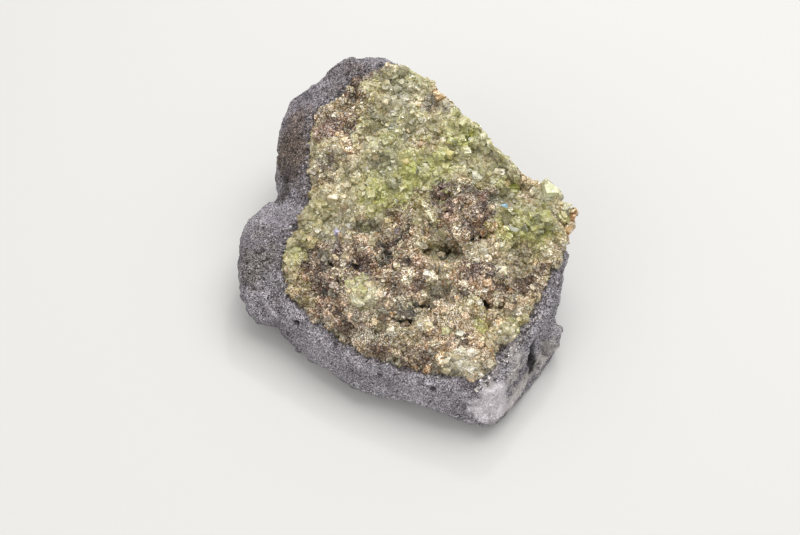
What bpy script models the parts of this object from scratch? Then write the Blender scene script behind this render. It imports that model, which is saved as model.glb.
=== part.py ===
"""Peridot specimen: a mass of olivine crystals set in a broken piece of dark, pitted basalt.

Metres, +Z up. The origin is the middle of the specimen's box, on the surface that it rests on.
-Y is the low front wall of basalt, and the crystal face rises from it towards the back.
Outlines are in millimetres round an upright axis, anticlockwise from the front corner.
"""

import math
import random

import bmesh
import bpy
from mathutils import Matrix, Vector, noise

MM = 0.001
GOLDEN_ANGLE = math.pi * (3 - math.sqrt(5))
STATIONS = 96
SEAT_STATIONS = 40
LOFT_AXIS = (0.0, 4.0)
BOX_MIDDLE = (-0.06, 8.77)

# The basalt, from the ground up: where it stands, its two belts, its top edge
FOOT = [
    (17.6, -29.4, 0), (10.5, -27.8, 0), (1.6, -25.0, 0), (-9.6, -21.8, 0), (-17.0, -16.4, 0),
    (-23.8, -10.2, 0), (-28.0, -4.2, 0), (-31.2, 3.2, 0), (-30.0, 12.0, 0), (-25.5, 18.5, 0),
    (-26.0, 28.0, 0), (-22.6, 37.4, 0), (-12.4, 43.6, 0), (-1.0, 44.4, 0), (9.2, 38.4, 0),
    (19.4, 29.2, 0), (28.0, 18.2, 0), (31.2, 6.0, 0), (32.0, -8.4, 0), (29.2, -15.2, 0),
    (24.2, -21.8, 0), (20.4, -26.8, 0),
]
LOW_BELT = [
    (18.0, -29.8, 4), (10.5, -28.2, 4), (1.4, -25.6, 4), (-9.8, -22.4, 4), (-17.8, -17.0, 3.5),
    (-24.6, -10.6, 3), (-28.0, -8.2, 3.5), (-32.0, -6.8, 4), (-34.0, -2.6, 6), (-34.9, 4.6, 6),
    (-33.6, 13.4, 6), (-28.0, 19.4, 6), (-28.6, 28.0, 7), (-25.6, 38.6, 8), (-14.0, 46.2, 9),
    (-0.5, 46.8, 9), (10.8, 41.2, 8), (21.4, 31.6, 8), (29.6, 20.0, 7), (33.0, 7.0, 6),
    (32.2, -3.0, 6), (33.0, -9.6, 7), (31.2, -12.6, 6), (28.4, -15.6, 4), (23.6, -22.2, 4),
    (20.6, -27.2, 4),
]
HIGH_BELT = [
    (17.2, -29.2, 9), (10.0, -27.4, 8), (1.0, -24.9, 7), (-9.8, -21.8, 7), (-17.6, -16.4, 7),
    (-24.0, -10.2, 7.5), (-29.0, -7.8, 8), (-33.6, -4.0, 9), (-34.8, 1.6, 12), (-35.0, 10.5, 13),
    (-33.2, 15.6, 13), (-30.2, 19.0, 13), (-27.2, 19.6, 13), (-27.2, 22.4, 14), (-27.8, 28.0, 16),
    (-28.0, 34.0, 17.5), (-26.4, 38.2, 20), (-16.0, 44.6, 22), (-3.4, 46.4, 20), (9.4, 41.2, 15),
    (19.9, 31.6, 14), (28.2, 20.0, 14), (33.0, 6.5, 14), (31.0, -5.8, 12), (29.6, -8.8, 9.4),
    (27.6, -15.2, 10), (22.8, -21.8, 10), (19.6, -26.6, 9),
]
RIM = [
    (16.4, -28.4, 13), (9.0, -26.9, 11.2), (0.0, -24.5, 10.2), (-9.8, -20.9, 10.2),
    (-17.2, -15.6, 10.4), (-22.4, -11.4, 11.4), (-28.0, -7.0, 12.4), (-32.4, -1.0, 14),
    (-34.0, 5.0, 15), (-33.6, 11.4, 15.4), (-31.4, 16.0, 15.4), (-28.0, 17.6, 16.4),
    (-24.6, 18.4, 19.4), (-24.8, 23.0, 22.4), (-25.4, 28.6, 24.4), (-25.8, 34.6, 26),
    (-24.6, 37.4, 28), (-20.4, 39.2, 30), (-16.4, 42.2, 32), (-12.6, 45.2, 33.2),
    (-6.0, 46.2, 31.8), (1.5, 45.0, 26.4), (9.4, 39.0, 20.4), (18.4, 30.2, 18.2),
    (26.9, 19.6, 17.8), (33.2, 7.2, 17.8), (33.4, -1.0, 16.8), (30.6, -9.0, 15.2),
    (26.4, -15.8, 14.2), (21.8, -21.8, 13.6), (18.8, -26.2, 13.6),
]
# Where basalt and crystals meet on the outside
CONTACT = [
    (15.4, -26.2, 13.6), (8.5, -24.8, 12), (-0.2, -22.4, 11), (-9.3, -18.8, 11),
    (-16.0, -13.4, 11), (-20.2, -9.8, 12), (-24.4, -5.2, 14), (-26.2, -0.9, 16),
    (-25.2, 2.5, 17), (-23.5, 7.4, 18.5), (-20.9, 13.2, 20), (-20.2, 18.0, 22.5),
    (-20.7, 23.7, 25), (-20.6, 28.5, 27), (-19.2, 32.6, 28.4), (-14.3, 36.2, 30.8),
    (-9.4, 39.6, 32.4), (-3.4, 43.2, 32.8), (3.0, 42.0, 26), (8.4, 36.8, 21.5), (16.5, 28.0, 19.5),
    (25.0, 18.0, 19), (32.0, 7.0, 19), (32.4, -1.5, 19.5), (30.1, -5.4, 19.5),
    (27.4, -10.5, 18), (24.2, -15.3, 16.8), (20.0, -20.4, 15.6), (17.6, -24.4, 14.6),
]
# Where the crystal face turns over into its own edge
BROW = [
    (14.1, -23.9, 15.8), (8.0, -22.6, 14), (0.0, -20.4, 13.2), (-8.5, -17.0, 13.2),
    (-14.5, -12.0, 13.4), (-18.8, -8.4, 14.4), (-22.6, -4.2, 16.2), (-24.2, 0.0, 17.8),
    (-23.4, 3.6, 19.2), (-21.6, 8.2, 20.8), (-19.2, 13.6, 22.8), (-18.6, 19.0, 25.2),
    (-18.8, 24.6, 27.6), (-18.2, 29.8, 29.4), (-13.6, 33.8, 31.6), (-8.6, 37.0, 33.6),
    (-2.8, 41.2, 34.8), (1.8, 39.8, 35), (6.8, 35.0, 35), (9.6, 30.2, 34.4), (13.2, 25.2, 34),
    (17.4, 21.2, 32.8), (19.6, 17.6, 31.8), (22.2, 15.0, 31.2), (25.4, 12.4, 30), (29.8, 10.0, 29.8),
    (34.0, 6.4, 27.8), (34.6, 3.2, 25.2), (31.6, -1.6, 23.2), (27.8, -7.0, 21.2),
    (23.8, -12.8, 19.4), (19.2, -18.6, 17.8),
]
FOOT_DEPTH = 2.5
# The old fracture that the contact lies on: height at the loft axis's origin, and its two slopes
FRACTURE = {"height": 17.6, "slope_x": 0.10, "slope_y": 0.35}
SEAT = {"depth": 5.0, "flare": 1.35, "flare_rise": 12.0, "roof": 70.0}
JOINT_GAP = 0.45
CRUST_SKIRT = 3.5
DOME = 4.3
# Insets of the brow outline that carry the crystal face, and the inset where its own relief takes over
FACE_INSETS = (1.0, 0.92, 0.84, 0.72, 0.58, 0.42, 0.24, 0.1)
FACE_TAKES_OVER = 0.26
# Swells (+) and hollows (-) of the crystal face: x, y, reach, height
RELIEF = [
    (14.0, 3.6, 8.0, 3.2), (8.4, -3.2, 4.2, -3.0), (-13.0, 1.0, 6.5, -1.8), (-3.0, 0.0, 5.0, -1.6),
    (-4.0, 21.0, 9.0, 1.4), (28.0, 1.6, 5.0, 1.6), (14.0, -9.6, 6.0, 2.4), (-10.0, -8.6, 6.0, 1.6),
    (2.0, -13.5, 5.0, 1.4), (23.0, -6.5, 4.0, -1.6), (5.0, -8.5, 4.0, -1.6), (-8.0, 30.0, 5.0, 1.2),
    (7.0, 12.0, 7.0, 0.8), (-16.0, 15.0, 5.0, -1.0), (20.0, 11.0, 4.0, -1.2),
]
# Gas bubbles burst by the break: the nearest place on the rock to x, y, z, then the three radii
BUBBLES = [
    (29.6, -14.6, 7.6, 2.4, 2.0, 3.9), (28.0, -17.4, 4.6, 1.7, 1.4, 2.0),
    (-21.9, -8.9, 6.6, 1.1, 1.1, 1.1), (5.4, -25.0, 7.2, 0.8, 1.0, 0.8),
    (-6.0, -21.4, 4.4, 0.9, 0.9, 0.8), (12.6, -27.2, 3.6, 0.8, 0.9, 0.8),
    (-30.4, 3.6, 14.8, 0.9, 0.9, 0.8), (-26.4, 25.4, 18.4, 1.0, 0.9, 0.9),
    (-31.2, -3.8, 7.4, 1.3, 0.9, 0.9), (-34.4, 8.0, 8.0, 1.0, 1.2, 1.4),
    (-21.0, 41.6, 14.0, 1.6, 1.4, 1.6), (-7.0, 46.6, 12.0, 1.2, 1.2, 1.6),
    (15.6, 36.0, 8.0, 1.8, 1.8, 1.4), (26.4, 24.6, 6.6, 1.3, 1.4, 1.8),
    (34.8, 3.0, 9.4, 1.2, 1.3, 1.0), (3.6, 44.6, 6.0, 1.0, 1.0, 1.3),
]
ROCK = {"voxel": 1.0, "facet": 10.0, "facet_tilt": 2.2, "step": 0.9, "swell": 9.0,
        "swell_height": 0.6, "grit": 2.4, "grit_height": 0.2, "triangles": 2300, "seed": 4}
GROUND = {"width": 200.0, "depth": 20.0}
CRUST = {"voxel": 1.3, "grit": 4.0, "grit_height": 0.5, "triangles": 700}
# Sizes are half-widths in millimetres. Sink is a share of the size, flatness and reach shares of it too
CRYSTALS = {"spacing": 3.25, "least": 1.7, "most": 2.9, "corners": 8, "reach": (0.8, 1.1),
            "width": (0.8, 1.0), "flatness": (0.65, 0.9), "sink": (0.05, 0.35), "sway": 0.35,
            "tries": 9000, "seed": 11}
# Crystals that stand clear of the rest: x, y, z, half-width
PROUD_CRYSTALS = [
    (28.9, 9.4, 30.6, 2.5), (22.8, 12.6, 30.8, 2.2), (27.6, 2.8, 27.2, 2.9), (15.2, 19.4, 33.0, 2.1),
    (19.2, 17.2, 32.2, 2.0), (24.6, -3.2, 22.6, 2.2), (-2.2, 13.0, 27.4, 2.4), (33.6, 5.2, 26.6, 2.2),
]


def fracture_height(x, y):
    return FRACTURE["height"] + FRACTURE["slope_x"] * x + FRACTURE["slope_y"] * y


def ring(outline, scale=1.0, lift=0.0, height=None, stations=STATIONS):
    """The outline read at equal angles round the loft axis, as points in millimetres."""
    centre = Vector(LOFT_AXIS)
    corners = [Vector(p) for p in outline]
    points = []
    for station in range(stations):
        angle = math.tau * station / stations
        ray = Vector((math.cos(angle), math.sin(angle)))
        for a, b in zip(corners, corners[1:] + corners[:1]):
            start, along = a.xy - centre, b.xy - a.xy
            turn = ray.x * along.y - ray.y * along.x
            if abs(turn) < 1e-9:
                continue
            reach = (start.x * along.y - start.y * along.x) / turn
            share = (start.x * ray.y - start.y * ray.x) / turn
            if reach > 0 and 0 <= share < 1:
                break
        xy = centre + ray * reach * scale
        z = a.z + (b.z - a.z) * share
        points.append(Vector((xy.x, xy.y, (z if height is None else height(xy.x, xy.y)) + lift)))
    return points


def loft(rings, first, last):
    """A closed mesh through rings of points, ended by a fan to a point at each end."""
    mesh = bmesh.new()
    rows = [[mesh.verts.new(p * MM) for p in points] for points in rings]
    for low, high in zip(rows, rows[1:]):
        for i, corner in enumerate(low):
            mesh.faces.new((high[i - 1], low[i - 1], corner, high[i]))
    for row, tip in ((rows[0], first), (rows[-1], last)):
        end = mesh.verts.new(Vector(tip) * MM)
        for i, corner in enumerate(row):
            mesh.faces.new((row[i - 1], corner, end))
    bmesh.ops.triangulate(mesh, faces=mesh.faces)
    bmesh.ops.recalc_face_normals(mesh, faces=mesh.faces)
    return mesh


def smooth_step(share):
    share = min(1.0, max(0.0, share))
    return share * share * (3 - 2 * share)


def face_height(x, y):
    """Height of the crystal face, away from its edges."""
    z = fracture_height(x, y) + DOME
    for at_x, at_y, reach, height in RELIEF:
        away = math.hypot(x - at_x, y - at_y) / reach
        z += height * math.exp(-away * away)
    return z


def new_object(name, mesh, helper=False):
    data = bpy.data.meshes.new(name)
    mesh.to_mesh(data)
    mesh.free()
    obj = bpy.data.objects.new(name, data)
    bpy.context.scene.collection.objects.link(obj)
    if helper:
        obj.hide_render = True
        obj.display_type = "WIRE"
    return obj


def settle(obj):
    """Applies the object's modifiers to its mesh."""
    bpy.context.view_layer.update()
    graph = bpy.context.evaluated_depsgraph_get()
    data = bpy.data.meshes.new_from_object(obj.evaluated_get(graph))
    obj.modifiers.clear()
    old, obj.data = obj.data, data
    bpy.data.meshes.remove(old)


def remesh(obj, voxel):
    modifier = obj.modifiers.new("even mesh", "REMESH")
    modifier.mode = "VOXEL"
    modifier.voxel_size = voxel * MM
    settle(obj)


def thin_out(obj, triangles):
    obj.data.calc_loop_triangles()
    modifier = obj.modifiers.new("fewer faces", "DECIMATE")
    modifier.ratio = triangles / len(obj.data.loop_triangles)
    modifier.use_collapse_triangulate = True
    settle(obj)


def cut(obj, other, operation="DIFFERENCE"):
    modifier = obj.modifiers.new("cut by " + other.name, "BOOLEAN")
    modifier.object = other
    modifier.operation = operation
    modifier.solver = "EXACT"
    settle(obj)


def push_out(obj, distance):
    """Moves each vertex along its normal by distance(place in mm), in mm."""
    mesh = bmesh.new()
    mesh.from_mesh(obj.data)
    mesh.normal_update()
    moves = [v.normal * distance(v.co / MM) * MM for v in mesh.verts]
    for vertex, move in zip(mesh.verts, moves):
        vertex.co += move
    mesh.to_mesh(obj.data)
    mesh.free()


def broken_face(place):
    """Relief of a hammer-broken surface: tilted flats with steps between them, swells and grit."""
    at = place / ROCK["facet"]
    cell = noise.voronoi(at)[1][0]
    lean = noise.noise_vector(cell) * ROCK["facet_tilt"]
    flats = max(-1.0, min(1.0, (at - cell).dot(lean))) * ROCK["step"]
    swell = noise.noise(place / ROCK["swell"]) * ROCK["swell_height"]
    grit = noise.noise(place / ROCK["grit"]) * ROCK["grit_height"]
    return flats + swell + grit


def build_seat():
    """The space above the seat, which basalt is cut by and the crystals stay within."""
    depth, flare = SEAT["depth"], SEAT["flare"]
    middle = (*LOFT_AXIS, fracture_height(*LOFT_AXIS) - depth)
    rings = [
        ring(CONTACT, 0.45, -depth, fracture_height, SEAT_STATIONS),
        ring(CONTACT, 0.78, -0.7 * depth, fracture_height, SEAT_STATIONS),
        ring(CONTACT, stations=SEAT_STATIONS),
        ring(CONTACT, flare, SEAT["flare_rise"], stations=SEAT_STATIONS),
        ring(CONTACT, flare, SEAT["roof"], lambda x, y: 0, SEAT_STATIONS),
    ]
    return new_object("seat_cutter", loft(rings, middle, (*LOFT_AXIS, SEAT["roof"])), helper=True)


def build_basalt(seat):
    rings = [
        ring(FOOT, 0.98, -FOOT_DEPTH),
        ring(FOOT),
        ring(LOW_BELT),
        ring(HIGH_BELT),
        ring(RIM),
        ring(CONTACT, 1.0, 0.4),
        ring(CONTACT, 0.7, 3.0, fracture_height),
    ]
    base, top = (*LOFT_AXIS, -FOOT_DEPTH), (*LOFT_AXIS, fracture_height(*LOFT_AXIS) + 3)
    rock = new_object("basalt_matrix", loft(rings, base, top))
    remesh(rock, ROCK["voxel"])
    push_out(rock, broken_face)
    thin_out(rock, ROCK["triangles"])
    for number, (x, y, z, *radii) in enumerate(BUBBLES):
        _, on_face, _, _ = rock.closest_point_on_mesh(Vector((x, y, z)) * MM)
        mesh = bmesh.new()
        bmesh.ops.create_icosphere(mesh, subdivisions=1, radius=MM)
        mesh.transform(Matrix.Translation(on_face) @ Matrix.Diagonal((*radii, 1)))
        bubble = new_object(f"bubble_{number}", mesh, helper=True)
        cut(rock, bubble)
        bpy.data.objects.remove(bubble)
    ground = bmesh.new()
    bmesh.ops.create_cube(ground, size=1.0)
    width, depth = GROUND["width"] * MM, GROUND["depth"] * MM
    below = Matrix.Translation((0, 0, -depth / 2))
    ground.transform(below @ Matrix.Diagonal((width, width, depth, 1)))
    cut(rock, new_object("ground_cutter", ground, helper=True))
    cut(rock, seat)
    return rock


def build_crust_core():
    """The crystal mass without its crystals: a domed slab that fills the seat."""
    brow_rings = []
    for scale in FACE_INSETS:
        points = ring(BROW, scale)
        inward = smooth_step((1 - scale) / FACE_TAKES_OVER)
        for point in points:
            point.z += (face_height(point.x, point.y) - point.z) * inward
        brow_rings.append(points)
    below = SEAT["depth"] + CRUST_SKIRT
    rings = [
        ring(CONTACT, 0.75, -below, fracture_height),
        ring(CONTACT, 0.97, -CRUST_SKIRT),
        ring(CONTACT, 0.985),
        *brow_rings,
    ]
    middle = Vector(LOFT_AXIS)
    base = (*LOFT_AXIS, fracture_height(*LOFT_AXIS) - below)
    core = new_object("crust_core", loft(rings, base, (*middle, face_height(*middle))))
    remesh(core, CRUST["voxel"])
    push_out(core, lambda p: noise.noise(p / CRUST["grit"]) * CRUST["grit_height"])
    return core


def crystal(size, rng):
    """A shard with flat faces: the hull of a few well spread points, drawn thinner one way."""
    count, sway = CRYSTALS["corners"], CRYSTALS["sway"]
    mesh = bmesh.new()
    for number in range(count):
        rise = 1 - (2 * number + 1) / count
        across = math.sqrt(1 - rise * rise)
        angle = number * GOLDEN_ANGLE + rng.uniform(-sway, sway)
        way = Vector((across * math.cos(angle), across * math.sin(angle), rise))
        mesh.verts.new(way * rng.uniform(*CRYSTALS["reach"]))
    bmesh.ops.convex_hull(mesh, input=mesh.verts)
    width, flatness = rng.uniform(*CRYSTALS["width"]), rng.uniform(*CRYSTALS["flatness"])
    thin = Matrix.Diagonal((1, width, flatness, 1))
    upright = Vector([rng.gauss(0, 1) for _ in range(3)])
    turn = upright.to_track_quat("Z", "Y").to_matrix().to_4x4()
    mesh.transform(turn @ thin @ Matrix.Scale(size * MM, 4))
    bmesh.ops.recalc_face_normals(mesh, faces=mesh.faces)
    return mesh


def crystal_places(core, rng):
    """Points spread over the core's outside, no two nearer than the spacing, with their normals."""
    faces = [f for f in core.data.polygons if above_seat(f.center / MM)]
    kept = []
    for face in rng.choices(faces, [f.area for f in faces], k=CRYSTALS["tries"]):
        at = face.center / MM
        if all((at - other).length > CRYSTALS["spacing"] for other, _ in kept):
            kept.append((at, face.normal.copy()))
    return kept


def above_seat(place):
    return place.z > fracture_height(place.x, place.y) - SEAT["depth"] + 0.5


def build_crust(seat):
    rng = random.Random(CRYSTALS["seed"])
    core = build_crust_core()
    cluster = bpy.data.collections.new("crystals")
    bpy.context.scene.collection.children.link(cluster)
    sites = []
    for at, normal in crystal_places(core, rng):
        size = rng.uniform(CRYSTALS["least"], CRYSTALS["most"])
        sites.append((at - normal * size * rng.uniform(*CRYSTALS["sink"]), size))
    sites += [(Vector(place), size) for *place, size in PROUD_CRYSTALS]
    for number, (at, size) in enumerate(sites):
        mesh = crystal(size, rng)
        mesh.transform(Matrix.Translation(at * MM))
        block = new_object(f"crystal_{number}", mesh, helper=True)
        bpy.context.scene.collection.objects.unlink(block)
        cluster.objects.link(block)
    thin_out(core, CRUST["triangles"])
    modifier = core.modifiers.new("crystals", "BOOLEAN")
    modifier.operand_type = "COLLECTION"
    modifier.collection = cluster
    modifier.operation = "UNION"
    modifier.solver = "EXACT"
    settle(core)
    for block in list(cluster.objects):
        bpy.data.objects.remove(block)
    bpy.data.collections.remove(cluster)
    seat.location.z = JOINT_GAP * MM
    cut(core, seat, "INTERSECT")
    core.name = "peridot_crystals"
    print("crystals:", len(sites))
    return core


def finish(obj, colour, roughness):
    material = bpy.data.materials.new(obj.name)
    material.use_nodes = True
    shader = material.node_tree.nodes["Principled BSDF"]
    shader.inputs["Base Color"].default_value = (*colour, 1)
    shader.inputs["Roughness"].default_value = roughness
    shader.inputs["Metallic"].default_value = 0.0
    obj.data.materials.clear()
    obj.data.materials.append(material)


def main():
    for old in list(bpy.data.objects):
        bpy.data.objects.remove(old)
    noise.seed_set(ROCK["seed"])    # the flats lean the same way on every run
    seat = build_seat()
    basalt = build_basalt(seat)
    crust = build_crust(seat)
    for obj in (basalt, crust):
        obj.data.transform(Matrix.Translation(Vector((-BOX_MIDDLE[0], -BOX_MIDDLE[1], 0)) * MM))
        obj.data.calc_loop_triangles()
        print(obj.name, len(obj.data.loop_triangles), "triangles")
    finish(basalt, (0.115, 0.105, 0.115), 0.9)
    finish(crust, (0.42, 0.44, 0.16), 0.35)


main()
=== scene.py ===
import math
import random

import bmesh
import bpy
import numpy as np
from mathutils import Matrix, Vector, kdtree, noise
from mathutils.bvhtree import BVHTree


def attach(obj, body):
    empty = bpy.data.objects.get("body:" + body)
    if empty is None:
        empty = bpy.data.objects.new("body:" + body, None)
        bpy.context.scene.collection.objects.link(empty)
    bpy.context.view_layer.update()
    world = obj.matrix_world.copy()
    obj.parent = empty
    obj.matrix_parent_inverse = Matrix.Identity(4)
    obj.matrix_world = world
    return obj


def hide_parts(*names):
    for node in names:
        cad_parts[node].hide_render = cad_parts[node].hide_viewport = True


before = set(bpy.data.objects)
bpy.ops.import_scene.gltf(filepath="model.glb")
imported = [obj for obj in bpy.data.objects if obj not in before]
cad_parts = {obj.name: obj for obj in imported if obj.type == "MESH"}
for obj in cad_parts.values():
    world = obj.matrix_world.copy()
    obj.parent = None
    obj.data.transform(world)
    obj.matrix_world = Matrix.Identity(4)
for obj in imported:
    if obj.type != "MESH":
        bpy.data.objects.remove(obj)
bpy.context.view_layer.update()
mm = 0.001
noise.seed_set(7)    # the broken flats and torn borders fall the same way on every run


# small tools

def hexToLinear(code):
    parts = [int(code[i:i + 2], 16) / 255 for i in (1, 3, 5)]
    return [c / 12.92 if c <= 0.04045 else ((c + 0.055) / 1.055) ** 2.4 for c in parts]


def paint(code):
    return (*hexToLinear(code), 1)


def addNode(tree, kind, inputs=None, links=None, **settings):
    node = tree.nodes.new(kind)
    for name, value in settings.items():
        setattr(node, name, value)
    for name, value in (inputs or {}).items():
        node.inputs[name].default_value = value
    for name, source in (links or {}).items():
        tree.links.new(source, node.inputs[name])
    return node


def newMaterial(name):
    material = bpy.data.materials.new(name)
    material.use_nodes = True
    shader = material.node_tree.nodes["Principled BSDF"]
    return material, material.node_tree, shader


def applyModifiers(obj):
    bpy.context.view_layer.update()
    graph = bpy.context.evaluated_depsgraph_get()
    finished = bpy.data.meshes.new_from_object(obj.evaluated_get(graph))
    obj.modifiers.clear()
    obj.data = finished


def newPiece(name, mesh, material, replaced=None):
    if isinstance(mesh, bmesh.types.BMesh):
        data = bpy.data.meshes.new(name)
        mesh.to_mesh(data)
        mesh.free()
        mesh = data
    obj = bpy.data.objects.new(name, mesh)
    bpy.context.scene.collection.objects.link(obj)
    obj.data.materials.append(material)
    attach(obj, "root")
    if replaced:
        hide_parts(replaced)
    return obj


def mergedCopy(nodeName):
    # the CAD node's triangles, welded so that they can be remeshed
    mesh = bmesh.new()
    mesh.from_mesh(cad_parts[nodeName].data)
    mesh.transform(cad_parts[nodeName].matrix_world)
    bmesh.ops.remove_doubles(mesh, verts=mesh.verts, dist=0.000001)
    return mesh


def remeshPiece(obj, voxel):
    modifier = obj.modifiers.new("even mesh", "REMESH")
    modifier.mode = "VOXEL"
    modifier.voxel_size = voxel * mm
    applyModifiers(obj)


def movePoints(obj, offset, smoothing=0):
    # offset(place in mm, normal) gives how far each point goes, in mm
    mesh = bmesh.new()
    mesh.from_mesh(obj.data)
    for step in range(smoothing):
        bmesh.ops.smooth_vert(mesh, verts=mesh.verts, factor=0.5,
                              use_axis_x=True, use_axis_y=True, use_axis_z=True)
    mesh.normal_update()
    moves = [offset(v.co / mm, v.normal) * mm for v in mesh.verts]
    for vertex, move in zip(mesh.verts, moves):
        vertex.co += move
    mesh.to_mesh(obj.data)
    mesh.free()


# camera, where the photograph was taken from

view = {
    "target": (-0.84, -8.47, 15.0),   # mm
    "distance": 228.0,
    "elevation": 52.0,
    "lens": 50.0,
    "frame": (800, 535),
    "sight": (190, 270),    # between which distances the specimen can lie, mm
    "torn": 4.0, "tornLength": 2.2,     # how far the trimmed edge is torn, pixels, and how finely, mm
    # outline of the specimen in the photograph, pixels
    "outline": [
        (342, 57), (363, 55), (383, 54), (399, 60), (407, 64), (419, 76), (434, 82), (445, 97), (463, 114),
        (484, 127), (489, 138), (498, 150), (511, 161), (525, 178), (534, 178), (545, 179), (558, 189),
        (571, 202), (581, 215), (576, 229), (568, 257), (562, 275), (559, 300), (554, 321), (562, 329),
        (560, 341), (545, 369), (522, 395), (504, 414), (496, 423), (488, 426), (467, 422), (452, 416),
        (432, 408), (409, 401), (383, 397), (355, 388), (340, 378), (322, 365), (309, 360), (307, 355),
        (296, 349), (292, 342), (281, 332), (275, 323), (268, 325), (256, 323), (247, 313), (246, 303),
        (241, 299), (242, 291), (238, 277), (240, 257), (237, 231), (248, 215), (263, 203), (276, 203),
        (279, 193), (276, 167), (279, 150), (277, 141), (280, 122), (288, 111), (290, 102), (309, 91),
        (318, 84), (330, 70),
    ],
}


def buildCamera():
    camera = bpy.data.objects.new("camera", bpy.data.cameras.new("camera"))
    bpy.context.scene.collection.objects.link(camera)
    camera.data.lens = view["lens"]
    camera.data.clip_start = 0.01
    tilt = math.radians(view["elevation"])
    back = Vector((0, -math.cos(tilt), math.sin(tilt)))
    camera.location = (Vector(view["target"]) + back * view["distance"]) * mm
    camera.rotation_euler = back.to_track_quat("Z", "Y").to_euler()
    bpy.context.scene.camera = camera
    bpy.context.view_layer.update()
    return camera


def photoRay(camera, u, v):
    # the line of sight through a pixel of the photograph
    width, height = view["frame"]
    scale = camera.data.sensor_width / camera.data.lens / width
    ahead = Vector(((u - width / 2) * scale, (height / 2 - v) * scale, -1)).normalized()
    return camera.location, camera.matrix_world.to_3x3() @ ahead


def photoHit(camera, tree, u, v):
    # where that line meets a piece, or comes nearest to it: place in mm and normal
    start, ahead = photoRay(camera, u, v)
    hit, normal, index, away = tree.ray_cast(start, ahead)
    if not hit:
        beside = [tree.find_nearest(start + ahead * reach * mm) for reach in range(*view["sight"])]
        hit, normal, index, away = min(beside, key=lambda found: found[3])
    return hit / mm, normal


def photoPoint(camera, tree, u, v):
    return photoHit(camera, tree, u, v)[0]


def trimToOutline(obj):
    # what stands out past the photograph's outline is pressed back to it, seen from the camera
    places = np.array([v.co for v in obj.data.vertices])
    turn = np.array(camera.matrix_world.to_3x3())
    seen = (places - np.array(camera.location)) @ turn
    width, height = view["frame"]
    pixel = -seen[:, 2] * camera.data.sensor_width / camera.data.lens / width
    spots = np.column_stack([width / 2 + seen[:, 0] / pixel, height / 2 - seen[:, 1] / pixel])
    # the edge stays torn
    length = view["tornLength"] * mm
    spots += np.array([noise.noise_vector(Vector(p) / length)[:2] for p in places]) * view["torn"]
    starts = np.array(view["outline"], float)
    inside, least, nearest = np.zeros(len(spots), bool), np.full(len(spots), 999.0), spots.copy()
    for start, run in zip(starts, np.roll(starts, -1, axis=0) - starts):
        crossing = (start[1] > spots[:, 1]) != (start[1] + run[1] > spots[:, 1])
        inside ^= crossing & (spots[:, 0] < start[0] + run[0] * (spots[:, 1] - start[1]) / (run[1] or 1))
        along = np.clip((spots - start) @ run / (run @ run), 0, 1)
        beside = start + along[:, None] * run
        away = np.linalg.norm(spots - beside, axis=1)
        nearest[away < least] = beside[away < least]
        least = np.minimum(least, away)
    shift = np.where(inside, 0, pixel)[:, None] * (nearest - spots)
    places += np.column_stack([shift[:, 0], -shift[:, 1], np.zeros(len(shift))]) @ turn.T
    obj.data.vertices.foreach_set("co", places.ravel())
    obj.data.update()


def placedForms(tree, forms):
    # swells and hollows at pixels of the photograph, set on a piece
    return [(photoPoint(camera, tree, u, v), *rest) for u, v, *rest in forms]


def placedRuns(tree, runs):
    # each run of pixels becomes stretches on a piece
    stretches = []
    for run in runs:
        points = [photoPoint(camera, tree, u, v) for u, v in run]
        stretches += list(zip(points, points[1:]))
    return stretches


def runAway(place, stretches):
    # how far a place is from the nearest stretch
    least = 99.0
    for start, end in stretches:
        run = end - start
        along = max(0.0, min(1.0, (place - start).dot(run) / run.length_squared))
        least = min(least, (place - start - run * along).length)
    return least


def formHeight(place, forms):
    # a power of 2 makes a soft swell, 4 a flat top with steep sides
    return sum(height * math.exp(-((place - centre).length / reach) ** power)
               for centre, reach, height, power in forms)


camera = buildCamera()
print("camera ready")


# basalt, broken with a hammer: matt, finely speckled purple-grey, pitted by gas bubbles

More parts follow.
